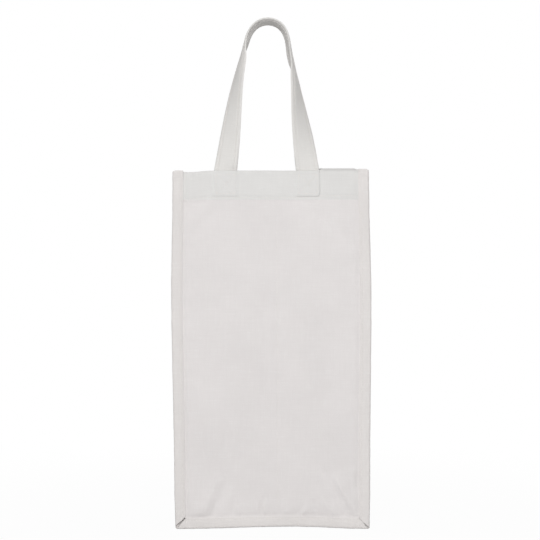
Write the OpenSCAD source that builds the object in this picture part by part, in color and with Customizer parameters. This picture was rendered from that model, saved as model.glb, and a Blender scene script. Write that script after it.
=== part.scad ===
// Two-bottle carrier bag of off-white canvas. Its panels meet in seams that stand out
// as fins, each wrapped in a binding tape, and a divider keeps the bottles apart.
// The front faces -Y, the bag stands on z = 0, and the origin is under its middle.

/* [Body] */
// Outer width across the side bindings
body_w = 196; // [170:1:230]
// Outer depth across the front and back bindings
body_d = 100; // [85:1:120]
// Height of the hemmed mouth above the floor
body_h = 357; // [320:1:400]
// How far the middle crease of a gusset stands in at the mouth
crease_in = 5; // [2:0.5:8]
// Height above the floor at which that crease starts
crease_start = 45; // [35:1:90]

/* [Cloth] */
// Thickness of one layer of canvas
canvas_t = 1.2; // [0.9:0.1:1.5]
// Width of the fin seam that frames the front and the back
fin_w = 12; // [9:0.5:15]
// Depth of the hem turned in round the mouth
hem_h = 29; // [22:1:38]
// Height of the seam allowance turned up at each end of the base
base_lap = 8; // [5:1:12]

/* [Binding] */
// Thickness of the binding tape
tape_t = 0.8; // [0.5:0.1:1.2]
// How far the side tapes stand above the mouth
tape_proud = 1.2; // [0.5:0.1:3]
// Width of the open slit where two tapes meet at a bottom corner
mitre_gap = 1; // [0.4:0.1:2]

/* [Divider] */
// Height of the divider
divider_h = 300; // [200:1:305]
// Width of the flange sewn to each panel
divider_flange = 10; // [6:1:16]
// Depth of the hem along the top of the divider
divider_hem = 15; // [8:1:25]
// Gap between the base and the divider
divider_lift = 3; // [1:0.5:5]

/* [Handles] */
// Width of the strap
strap_w = 23; // [18:1:28]
// Thickness of the strap, folded in layers
strap_t = 2.8; // [1.8:0.1:3.2]
// Distance between the middles of a handle's two legs at the hem
handle_spread = 82; // [70:1:100]
// Distance between the middles of the legs where the arch starts
handle_neck = 53; // [44:0.5:70]
// Length of a leg from the hem to the start of the arch
leg_h = 96; // [80:1:150]
// Rise of the arch above its start
arch_rise = 53.5; // [35:0.5:60]
// Length of strap above the hem that stays flat before it starts to turn
twist_start = 8; // [5:1:15]
// Length of strap above the hem over which it comes to stand edge-on
twist_end = 110; // [90:1:150]
// How far the handles are sewn to the right of the middle
handle_shift = -5; // [-10:0.5:10]
// How far the raised front handle leans in over the mouth
front_lean = 0; // [-5:0.5:10]
// How far a hanging handle stands off from straight down, held by the fold at the hem
hang_off = 14; // [11:0.5:25]
// Gap between the two handles where they meet over the mouth
handle_gap = 3; // [0.6:0.2:8]

/* [Stitching] */
// Width of a row of thread
thread_w = 0.6; // [0.4:0.1:0.8]
// How far the thread stands off the cloth
thread_t = 0.4; // [0.2:0.05:0.5]
// Distance of a row from the edge that it holds down
stitch_in = 2; // [1.5:0.1:3]

/* [Hidden] */

canvas_colour = "#e3dfdd";
tape_colour = "#dedad7";
strap_colour = "#dcd9d6";
thread_colour = "#eeebe8";

// Clearance between cloth edges that lie side by side
lay_gap = 0.2;
// Clearance between a handle and the hem that it swings over
swing_gap = 0.3;
// Overrun of a cutting shape past what it cuts
over = 1;
// Fineness of round folds
$fn = 32;

// Depth of a bound fin through both tapes and both layers of canvas
fin_t = 2 * tape_t + 2 * canvas_t;
half_w = body_w / 2;
half_d = body_d / 2;
// Outer face of the front and back panels, measured from the middle
panel_y = half_d - tape_t;
// Inner face of one layer there, where the gusset's flange lies
seam_y = panel_y - canvas_t;
// Inner face of the turned hem
hem_y = seam_y - canvas_t;
// Outer face of the gusset, measured from the middle
gusset_x = half_w - fin_w;
// Underside of the base
base_z = fin_w;
// Bottom edge of the turned hem
hem_z = body_h - hem_h;
// Height of the row of stitches that holds the hem
hem_row_z = hem_z + stitch_in;
// Shift of each tape along the fin that opens the slit of the mitre
mitre_shift = mitre_gap / sqrt(2);
divider_z = base_z + canvas_t + divider_lift;
divider_row_x = canvas_t / 2 + divider_flange / 2;
// Bottom of the strap's sewn end, just above the row that holds the hem
end_z = hem_row_z + stitch_in;
// Height of the middle line of the whole loop
loop_h = leg_h + arch_rise;
// Middle of the strap, measured from the line that the handle turns about
strap_y = canvas_t + swing_gap + strap_t / 2;
// Lean of each handle at which the two arches meet over the mouth
lean_reach = strap_y + strap_w / 2;
lean_rise = loop_h + strap_t / 2;
meeting_lean = asin((seam_y - handle_gap / 2) / norm([lean_reach, lean_rise]))
    - atan2(lean_reach, lean_rise);
// Depth to which the leaning end of the loop reaches below the mouth
end_dip = (strap_y + strap_t / 2) * sin(meeting_lean);
// Share of the turn that the strap makes close to the hem, and how quickly
early_turn_share = 0.27;
early_turn_power = 8;
leg_rings = 12;
arch_rings = 10;
// Chamfer along the edges of the strap
strap_edge = strap_t / 3;

// Turns a shape made for the front or the left round to the other side
module other_face(back) mirror([0, back ? 1 : 0, 0]) children();
module other_side(right) mirror([right ? 1 : 0, 0, 0]) children();

// Keeps what stands above the mitre in the lower left corner
module above_mitre(high) {
    translate([-half_w, half_d + over, 0]) rotate([90, 0, 0])
        linear_extrude(body_d + 2 * over)
            polygon([[-over, mitre_shift - over], [fin_w, fin_w + mitre_shift],
                [fin_w + 2 * canvas_t, fin_w + mitre_shift], [fin_w + 2 * canvas_t, high],
                [-over, high]]);
}

// Keeps what lies below the mitres in both lower corners
module below_mitre() {
    translate([0, half_d + over, 0]) rotate([90, 0, 0])
        linear_extrude(body_d + 2 * over)
            polygon([[mitre_shift - half_w, 0], [mitre_shift - gusset_x, fin_w],
                [gusset_x - mitre_shift, fin_w], [half_w - mitre_shift, 0]]);
}

// One panel with the edge of its mouth folded in as a hem
module panel(back) {
    hem_half = gusset_x - 2 * canvas_t - lay_gap;
    fold_z = body_h - canvas_t;
    color(canvas_colour) other_face(back) {
        for (side = [-1, 1])
            translate([side > 0 ? hem_half : tape_t - half_w, -panel_y, tape_t])
                cube([half_w - tape_t - hem_half, canvas_t, body_h - tape_t]);
        translate([-hem_half, -panel_y, tape_t])
            cube([2 * hem_half, canvas_t, fold_z - tape_t]);
        translate([-hem_half, -seam_y, hem_z])
            cube([2 * hem_half, canvas_t, fold_z - hem_z]);
        translate([-hem_half, -seam_y, fold_z]) rotate([0, 90, 0])
            cylinder(r = canvas_t, h = 2 * hem_half);
    }
}

// How far a gusset's middle stands in at a height
function crease_at(z) = crease_in * max(0, z - crease_start) / (body_h - crease_start);
// Outer face of the left gusset at a depth and a height
function gusset_at(y, z) = crease_at(z) * (1 - abs(y) / seam_y) - gusset_x;

// A sheet that follows the left gusset from one height to the next, set in by from and to
module gusset_sheet(heights, half_y, from, to) {
    rows = len(heights);
    points = [for (depth = [from, to]) for (z = heights) for (y = [-half_y, 0, half_y])
        [gusset_at(y, z) + depth, y, z]];
    far = 3 * rows;
    outer = [for (r = [0 : rows - 2]) for (c = [0, 1]) let (a = 3 * r + c)
        each [[a, a + 1, a + 3], [a + 1, a + 4, a + 3]]];
    inner = [for (f = outer) [f[0] + far, f[2] + far, f[1] + far]];
    rim = concat([0, 1, 2], [for (r = [1 : rows - 1]) 3 * r + 2],
        [3 * rows - 2, 3 * rows - 3], [for (r = [rows - 2 : -1 : 1]) 3 * r]);
    edges = [for (i = [0 : len(rim) - 1])
        let (a = rim[i], b = rim[(i + 1) % len(rim)])
        each [[a, b + far, b], [a, a + far, b + far]]];
    polyhedron(points, concat(outer, inner, edges));
}

// One gusset: a creased wall with a flange along each edge and a hem at the mouth
module gusset(right) {
    color(canvas_colour) other_side(right) {
        gusset_sheet([base_z, crease_start, hem_z, hem_row_z, hem_row_z + thread_w, body_h],
            seam_y, 0, canvas_t);
        gusset_sheet([hem_z, hem_row_z, hem_row_z + thread_w, body_h],
            hem_y - lay_gap, canvas_t, 2 * canvas_t);
        for (back = [false, true]) other_face(back)
            intersection() {
                translate([tape_t - half_w, -seam_y, 0])
                    cube([fin_w - tape_t + canvas_t, canvas_t, body_h]);
                above_mitre(body_h);
            }
    }
}

// The base with a flange turned down at the front and back, and one turned up at each end
module base_panel() {
    inner_x = gusset_x - canvas_t;
    color(canvas_colour) {
        translate([-inner_x, -seam_y, base_z])
            cube([2 * inner_x, 2 * seam_y, canvas_t]);
        for (right = [false, true]) other_side(right)
            translate([-inner_x, -seam_y, base_z])
                cube([canvas_t, 2 * seam_y, canvas_t + base_lap]);
        for (back = [false, true]) other_face(back)
            intersection() {
                translate([-half_w, -seam_y, tape_t])
                    cube([body_w, canvas_t, base_z - tape_t]);
                below_mitre();
            }
    }
}

// The divider, sewn by a flange to the front and the back, with a hem along its top
module divider() {
    top = divider_z + divider_h;
    color(canvas_colour) {
        translate([-canvas_t / 2, -seam_y, divider_z])
            cube([canvas_t, 2 * seam_y, divider_h - canvas_t]);
        for (back = [false, true]) other_face(back)
            translate([0, -seam_y, divider_z])
                cube([canvas_t / 2 + divider_flange, canvas_t, divider_h - divider_hem]);
        translate([canvas_t / 2, lay_gap - hem_y, top - divider_hem])
            cube([canvas_t, 2 * (hem_y - lay_gap), divider_hem - canvas_t]);
        translate([canvas_t / 2, seam_y, top - canvas_t]) rotate([90, 0, 0])
            cylinder(r = canvas_t, h = 2 * seam_y);
    }
}

// Section of a tape wrapped round the edge of a fin, whose fold lies at the origin
module tape_section() {
    difference() {
        union() {
            translate([tape_t, 0])
                square([fin_w - tape_t, fin_t]);
            translate([0, tape_t])
                square([fin_w, fin_t - 2 * tape_t]);
            for (y = [tape_t, fin_t - tape_t])
                translate([tape_t, y])
                    circle(r = tape_t);
        }
        translate([tape_t, tape_t])
            square([fin_w, fin_t - 2 * tape_t]);
    }
}

// The tape down one side, cut to a mitre at the bottom
module side_binding(right, back) {
    top = body_h + tape_proud;
    color(tape_colour) other_side(right) other_face(back)
        intersection() {
            translate([-half_w, -half_d, 0])
                linear_extrude(top)
                    difference() {
                        tape_section();
                        translate([fin_w - lay_gap, fin_t - tape_t - lay_gap])
                            square(fin_t);
                    }
            above_mitre(top);
        }
}

// The tape along the bottom, cut to a mitre at both ends
module base_binding(back) {
    color(tape_colour) other_face(back)
        intersection() {
            translate([-half_w, -half_d, 0]) rotate([90, 0, 90])
                linear_extrude(body_w)
                    mirror([1, -1])
                        difference() {
                            tape_section();
                            translate([fin_w - lay_gap, fin_t - tape_t - lay_gap])
                                square(fin_t);
                        }
            below_mitre();
        }
}

// Half a strap's section on each side of its middle line, with chamfered edges
function strap_section() =
    let (x = strap_w / 2, y = strap_t / 2, c = strap_edge)
    [[x, c - y], [x, y - c], [x - c, y], [c - x, y], [-x, y - c], [-x, c - y], [c - x, -y], [x - c, -y]];

// The two ends of a strap, sewn upright against the inside of the hem
module handle_ends(back) {
    color(strap_colour) other_face(back)
        for (side = [-1, 1])
            translate([handle_shift + side * handle_spread / 2, strap_t / 2 - hem_y, end_z])
                linear_extrude(body_h - end_dip - swing_gap - end_z)
                    polygon(strap_section());
}

// Middle line of the loop, from the left end over the arch to the right end. The arch is a
// round one with full shoulders, and narrows at the same rate as the legs below it.
function loop_half(h) = handle_spread / 2 - (handle_spread - handle_neck) / 2 * h / leg_h;
function leg_point(side, i) = let (h = leg_h * i / leg_rings) [side * loop_half(h), h];
function arch_point(angle) =
    let (h = leg_h + arch_rise * sqrt(sin(angle))) [-loop_half(h) * cos(angle), h];
loop_line = concat(
    [for (i = [0 : leg_rings - 1]) leg_point(-1, i)],
    [for (i = [0 : 2 * arch_rings]) arch_point(90 * i / arch_rings)],
    [for (i = [leg_rings - 1 : -1 : 0]) leg_point(1, i)]);
loop_last = len(loop_line) - 1;

// How far the strap has turned edge-on at a height above the hem
function turn_at(h) =
    let (u = min(1, max(0, (h - twist_start) / (twist_end - twist_start))))
    90 * (early_turn_share * (1 - pow(1 - u, early_turn_power)) + (1 - early_turn_share) * u);

// Direction of the middle line; both ends leave the hem upright
function loop_run(i) =
    i == 0 ? [0, 1] : i == loop_last ? [0, -1]
    : let (d = loop_line[i + 1] - loop_line[i - 1]) d / norm(d);

// One ring of the strap, turned about its middle line
function loop_ring(i) =
    let (p = loop_line[i], t = loop_run(i), turn = turn_at(p[1]),
        across = [t[1] * cos(turn), -sin(turn), -t[0] * cos(turn)],
        through = cross([t[0], 0, t[1]], across))
    [for (s = strap_section()) [p[0], strap_y, p[1]] + s[0] * across + s[1] * through];

// One loop of strap that turns edge-on and arches over the hand. The front one is raised,
// and the back one hangs over the mouth against the back panel.
module handle(back) {
    corners = len(strap_section());
    points = [for (i = [0 : loop_last]) each loop_ring(i)];
    last = corners * loop_last;
    sides = [for (i = [0 : loop_last - 1]) for (c = [0 : corners - 1])
        let (a = corners * i + c, b = corners * i + (c + 1) % corners)
        each [[a, b, a + corners], [b, b + corners, a + corners]]];
    start = [for (c = [1 : corners - 2]) [0, c + 1, c]];
    end = [for (c = [1 : corners - 2]) [last, last + c, last + c + 1]];
    color(strap_colour) other_face(back)
        translate([handle_shift, -seam_y, body_h])
            rotate([back ? 180 - hang_off : -front_lean, 0, 0])
                polyhedron(points, concat(sides, start, end));
}

// A straight row of thread on a front face, from one point of that face to another
module row(from, to, face_y) {
    run = to - from;
    translate([from[0], face_y - thread_t, from[1]])
        rotate([0, -atan2(run[1], run[0]), 0])
            translate([0, 0, -thread_w / 2])
                cube([norm(run), thread_t, thread_w]);
}

// The rows that hold the tapes of one face, seen from both sides of the fin
module binding_stitching(back) {
    row_x = gusset_x + stitch_in;
    row_z = fin_w - stitch_in;
    color(thread_colour) other_face(back)
        for (face_y = [-half_d, fin_t - half_d + thread_t]) {
            for (side = [-1, 1])
                row([side * row_x, row_z + stitch_in], [side * row_x, body_h - stitch_in], face_y);
            row([-gusset_x, row_z], [gusset_x, row_z], face_y);
        }
}

// The row round the mouth that holds the hem, seen outside and inside
module hem_stitching() {
    half = gusset_x - 2 * stitch_in;
    row_z = hem_row_z + thread_w / 2;
    heights = [hem_row_z, hem_row_z + thread_w];
    color(thread_colour) {
        for (back = [false, true], face_y = [-panel_y, thread_t - hem_y]) other_face(back)
            row([-half, row_z], [half, row_z], face_y);
        for (right = [false, true]) other_side(right) {
            gusset_sheet(heights, half_d - fin_t - stitch_in, -thread_t, 0);
            gusset_sheet(heights, hem_y - 2 * stitch_in, 2 * canvas_t, 2 * canvas_t + thread_t);
        }
    }
}

// A crossed box of thread through each end of a strap, seen outside and inside
module handle_stitching(back) {
    half = strap_w / 2 - stitch_in;
    low = end_z + stitch_in;
    high = body_h - 2 * stitch_in;
    color(thread_colour) other_face(back)
        for (face_y = [-panel_y, strap_t - hem_y + thread_t], side = [-1, 1]) {
            x = handle_shift + side * handle_spread / 2;
            corner = [[x - half, low], [x + half, low], [x + half, high], [x - half, high]];
            for (pair = [[0, 1], [1, 2], [2, 3], [3, 0], [0, 2], [1, 3]])
                row(corner[pair[0]], corner[pair[1]], face_y);
        }
}

// The rows that hold the divider to each panel and the hem along its top
module divider_stitching() {
    low = divider_z + stitch_in;
    high = divider_z + divider_h - divider_hem - stitch_in;
    half = hem_y - 2 * stitch_in;
    color(thread_colour) {
        for (back = [false, true], face_y = [-panel_y, thread_t - hem_y]) other_face(back)
            row([divider_row_x, low], [divider_row_x, high], face_y);
        for (x = [-canvas_t / 2 - thread_t, 3 * canvas_t / 2])
            translate([x, -half, high + 2 * stitch_in])
                cube([thread_t, 2 * half, thread_w]);
    }
}

// The row that joins the base to the foot of each gusset, seen outside and inside
module base_seam_stitching() {
    row_z = base_z + canvas_t + base_lap / 2;
    half = hem_y - stitch_in;
    color(thread_colour)
        for (right = [false, true]) other_side(right)
            for (x = [-gusset_x - thread_t, 2 * canvas_t - gusset_x])
                translate([x, -half, row_z])
                    cube([thread_t, 2 * half, thread_w]);
}

panel(false);  // front_panel
panel(true);  // back_panel
gusset(false);  // left_gusset
gusset(true);  // right_gusset
base_panel();
divider();
side_binding(false, false);  // front_left_binding
base_binding(false);  // front_base_binding
side_binding(true, false);  // front_right_binding
side_binding(false, true);  // back_left_binding
base_binding(true);  // back_base_binding
side_binding(true, true);  // back_right_binding
handle_ends(false);  // front_handle_ends
handle_ends(true);  // back_handle_ends
handle(false);  // front_handle
handle(true);  // back_handle
binding_stitching(false);  // front_binding_stitching
binding_stitching(true);  // back_binding_stitching
hem_stitching();
handle_stitching(false);  // front_handle_stitching
handle_stitching(true);  // back_handle_stitching
divider_stitching();
base_seam_stitching();
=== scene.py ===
"""Looks of a two-bottle carrier bag of off-white canvas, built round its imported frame.

Every sewn piece is laid out flat and square first, as its maker cuts it. One drape then
moves them all, so that seams, tapes and stitches stay on the cloth. Lengths are metres,
the front faces -Y, and the bag stands on z = 0 with the origin under its middle.
"""

import logging
import math
from collections.abc import Sequence
from dataclasses import dataclass, field
from enum import Enum

import bpy
import numpy as np
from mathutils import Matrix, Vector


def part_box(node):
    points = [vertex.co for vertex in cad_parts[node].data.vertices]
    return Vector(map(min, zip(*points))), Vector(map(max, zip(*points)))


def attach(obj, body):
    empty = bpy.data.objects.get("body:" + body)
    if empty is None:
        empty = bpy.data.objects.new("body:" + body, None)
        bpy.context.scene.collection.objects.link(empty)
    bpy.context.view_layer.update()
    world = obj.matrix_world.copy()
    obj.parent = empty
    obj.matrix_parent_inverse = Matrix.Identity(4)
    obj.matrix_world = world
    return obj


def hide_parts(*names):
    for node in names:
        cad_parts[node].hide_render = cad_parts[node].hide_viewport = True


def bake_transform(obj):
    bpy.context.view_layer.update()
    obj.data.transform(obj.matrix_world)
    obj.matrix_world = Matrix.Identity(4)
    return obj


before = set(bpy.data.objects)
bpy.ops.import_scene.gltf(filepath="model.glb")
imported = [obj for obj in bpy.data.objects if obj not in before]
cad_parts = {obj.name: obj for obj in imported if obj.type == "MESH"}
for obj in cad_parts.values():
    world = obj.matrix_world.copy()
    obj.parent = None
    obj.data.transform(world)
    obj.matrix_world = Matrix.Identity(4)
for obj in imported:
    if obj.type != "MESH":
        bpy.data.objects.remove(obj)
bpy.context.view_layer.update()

log = logging.getLogger("carrier_bag")
Array = np.ndarray
Pair = tuple[float, float]
Spot = tuple[float, float, float]
Tree, Socket = bpy.types.NodeTree, bpy.types.NodeSocket
MM = 0.001
FLAT_MAP = "flat_cloth"
# How many sines make up the waves of uneven cloth
SINES = 9


def mm(*lengths: float) -> tuple[float, ...]:
    """Millimetres as metres."""
    return tuple(length * MM for length in lengths)


class Place(Enum):
    """Where a piece is, which its name begins with."""

    @property
    def word(self) -> str:
        """The place's name in a piece's name."""
        return self.name.lower()


class Side(Place):
    """The two faces of the bag, by the sign of their Y."""

    FRONT = -1
    BACK = 1


class Hand(Place):
    """The two ends of the bag, by the sign of their X."""

    LEFT = -1
    RIGHT = 1


def rise(value: Array, low: float, high: float) -> Array:
    """A smooth step: 0 up to low, 1 past high, and 3t^2 - 2t^3 between them.

    Args:
        value: Where the step is wanted.
        low: Where it starts.
        high: Where it is complete.

    Returns:
        The step's height at each value.
    """
    t = np.clip((value - low) / (high - low), 0, 1)
    return t * t * (3 - 2 * t)


def hump(value: Array, middle: float, width: float | Array) -> Array:
    """A bell of height 1 round middle: e to the minus ((value - middle) / width) squared."""
    return np.exp(-(((value - middle) / width) ** 2))


def eased(values: Array, reach: int) -> Array:
    """Values smoothed along their row by a bell-shaped average.

    Args:
        values: The values, evenly spaced.
        reach: How many neighbours on each side have a part in the average.

    Returns:
        The smoothed values, as many as before.
    """
    bell = np.hanning(2 * reach + 3)[1:-1]
    return np.convolve(np.pad(values, reach, mode="edge"), bell / bell.sum(), "valid")


def graded(edges: Sequence[float], steps: Sequence[float]) -> Array:
    """Places from the first edge to the last, evenly spaced within each stretch.

    Args:
        edges: Where each stretch starts, and where the last one ends.
        steps: About how far apart the places lie in each stretch.

    Returns:
        The places, in order.
    """
    runs = [
        np.linspace(a, b, max(1, round(abs(b - a) / step)), endpoint=False)
        for a, b, step in zip(edges, edges[1:], steps)
    ]
    return np.concatenate([*runs, [edges[-1]]])


def joined(*parts: Array | float) -> Array:
    """Coordinates that vary by row, by column or not at all, as one grid of points."""
    return np.stack(np.broadcast_arrays(*parts), -1)


def unit(vectors: Array) -> Array:
    """Vectors scaled to a length of 1 each."""
    return vectors / np.linalg.norm(vectors, axis=-1, keepdims=True)


def waves(a: Array, b: Array, seed: int, lengths: Pair) -> Array:
    """A sum of sines with random directions and lengths, from about -1 to 1.

    Args:
        a: First coordinate on the cloth.
        b: Second coordinate on the cloth.
        seed: Seed of the random directions, lengths and phases.
        lengths: Shortest and longest wave.

    Returns:
        The height at each point.
    """
    draw = np.random.default_rng(seed)
    total = np.zeros(np.broadcast(a, b).shape)
    for _ in range(SINES):
        turn, phase = draw.uniform(0, math.tau, 2)
        pace = math.tau / draw.uniform(*lengths)
        total += np.sin(pace * (a * math.cos(turn) + b * math.sin(turn)) + phase)
    return total / math.sqrt(2 * SINES)


@dataclass(frozen=True)
class Uneven:
    """Waves over the cloth, whose directions and lengths are random.

    Where a coordinate counts for less than 1, the waves run on further that way, as the
    puckers do across a row of stitches.
    """

    height: float
    lengths: Pair
    seed: int
    counts: Pair = (1.0, 1.0)

    def at(self, a: Array, b: Array, more: int = 0) -> Array:
        """The waves' height at points of the cloth, with a seed that is more by a number."""
        a, b = self.counts[0] * a, self.counts[1] * b
        return self.height * waves(a, b, self.seed + more, self.lengths)


@dataclass(frozen=True)
class Ridge:
    """A soft line along a seam: its height, how far off the seam it lies, and its width."""

    height: float
    off: float
    width: float

    def at(self, distance: Array) -> Array:
        """The line's height at distances from the seam, as a bell across it."""
        return self.height * hump(distance, self.off, self.width)


@dataclass(frozen=True)
class Step:
    """A smooth step: its height, where it starts and where it is complete."""

    height: float
    low: float
    high: float

    def at(self, value: Array) -> Array:
        """The step's height at each value."""
        return self.height * rise(value, self.low, self.high)


@dataclass(frozen=True)
class BagSizes:
    """The bag's driving sizes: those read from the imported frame, then the looks' own."""

    half_w: float
    half_d: float
    mouth: float
    fin_w: float
    fin_t: float
    tape_t: float
    tape_top: float
    cloth_t: float
    hem_row: float
    divider_low: float
    divider_high: float
    divider_edge: float
    strap_w: float
    strap_t: float
    strap_low: float
    strap_mid: float
    strap_half: float
    loop_h: float
    # The strap's ends are sewn this far to the right of even
    sewn_off: float = 0.9 * MM
    # How much of each fin its tape leaves bare next to the body
    bare: float = 1.4 * MM
    # Gap between a loop and the hem that it swings over
    swing_gap: float = 0.3 * MM
    # How far a row of stitches lies in from the edge that it holds
    row_in: float = 2 * MM
    # Half the height of the hem's row in the frame
    row_half: float = 0.3 * MM
    # Radius of a hem's fold at the middle of the cloth
    bend: float = 0.65 * MM
    # Air on each side of a layer of cloth, so that no two faces coincide
    air: float = 0.05 * MM

    @classmethod
    def from_frame(cls) -> "BagSizes":
        """Reads the sizes from the boxes of the frame's nodes.

        Returns:
            The sizes, in metres.
        """
        tape_low, tape_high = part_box("front_left_binding")
        panel_low, panel_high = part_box("front_panel")
        divider_low, divider_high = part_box("divider")
        ends_low, ends_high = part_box("front_handle_ends")
        loop_low, loop_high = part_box("front_handle")
        strap_w = loop_high.y - loop_low.y
        strap_t = ends_high.y - ends_low.y
        return cls(
            half_w=-tape_low.x,
            half_d=-tape_low.y,
            mouth=panel_high.z,
            fin_w=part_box("front_base_binding")[1].z,
            fin_t=tape_high.y - tape_low.y,
            tape_t=panel_low.y - tape_low.y,
            tape_top=tape_high.z,
            cloth_t=(panel_high.y - panel_low.y) / 2,
            hem_row=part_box("hem_stitching")[0].z,
            divider_low=divider_low.z,
            divider_high=divider_high.z,
            divider_edge=divider_high.x,
            strap_w=strap_w,
            strap_t=strap_t,
            strap_low=ends_low.z,
            strap_mid=(ends_low.x + ends_high.x) / 2 + cls.sewn_off,
            strap_half=(ends_high.x - ends_low.x - strap_w) / 2,
            loop_h=loop_high.z - strap_t / 2 - panel_high.z - cls.swing_gap,
        )

    @property
    def wall_x(self) -> float:
        """Distance of a gusset's outer face from the middle."""
        return self.half_w - self.fin_w

    @property
    def tape_w(self) -> float:
        """Width of a tape on one side of its fin."""
        return self.fin_w - self.bare

    @property
    def panel_y(self) -> float:
        """Distance of a panel's outer face from the middle."""
        return self.half_d - self.tape_t

    @property
    def seam_y(self) -> float:
        """Distance from the middle to where panel and gusset lie face to face."""
        return self.panel_y - self.cloth_t

    @property
    def sheet_t(self) -> float:
        """Thickness of one layer of cloth, without the air beside it."""
        return self.cloth_t - 2 * self.air

    @property
    def flange_y(self) -> float:
        """Distance from the middle to the middle of a flange's cloth, behind a panel."""
        return self.seam_y - self.sheet_t / 2 - self.air

    @property
    def hem_low(self) -> float:
        """Height of the bottom edge of the turned hem."""
        return self.hem_row - self.row_in

    @property
    def row_z(self) -> float:
        """Height of the row of stitches round the hem."""
        return self.hem_row + self.row_half

    @property
    def box(self) -> tuple[float, float, float]:
        """Half width, foot and top of the box of stitches through a strap's end."""
        return self.strap_w / 2 - self.row_in, self.strap_low + self.row_in, self.mouth - 2 * self.row_in


@dataclass(frozen=True)
class Fold:
    """A soft fold across a face of the bag.

    Across the fold the cloth follows a valley, minus e to the minus d squared, mixed by
    lean with a step, d times e to the half of (1 - d squared), where d is the distance
    from the fold's line over its width.
    """

    start: Pair
    end: Pair
    width: float
    depth: float
    lean: float = 0.0
    # How far to each side of its two ends it fades, as a share of its length
    ends: float = 0.3

    def height(self, x: Array, z: Array) -> Array:
        """How far the fold moves the cloth outwards.

        Args:
            x: Places across the face.
            z: Heights on the face.

        Returns:
            The outward move at each point.
        """
        run = np.subtract(self.end, self.start)
        length = math.hypot(*run)
        along = ((x - self.start[0]) * run[0] + (z - self.start[1]) * run[1]) / length**2
        off = ((x - self.start[0]) * run[1] - (z - self.start[1]) * run[0]) / length
        d = off / self.width
        fade = rise(along, -self.ends, self.ends) * (1 - rise(along, 1 - self.ends, 1 + self.ends))
        step = d * np.exp(0.5 * (1 - d * d))
        return self.depth * fade * (self.lean * step - (1 - abs(self.lean)) * np.exp(-d * d))


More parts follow.
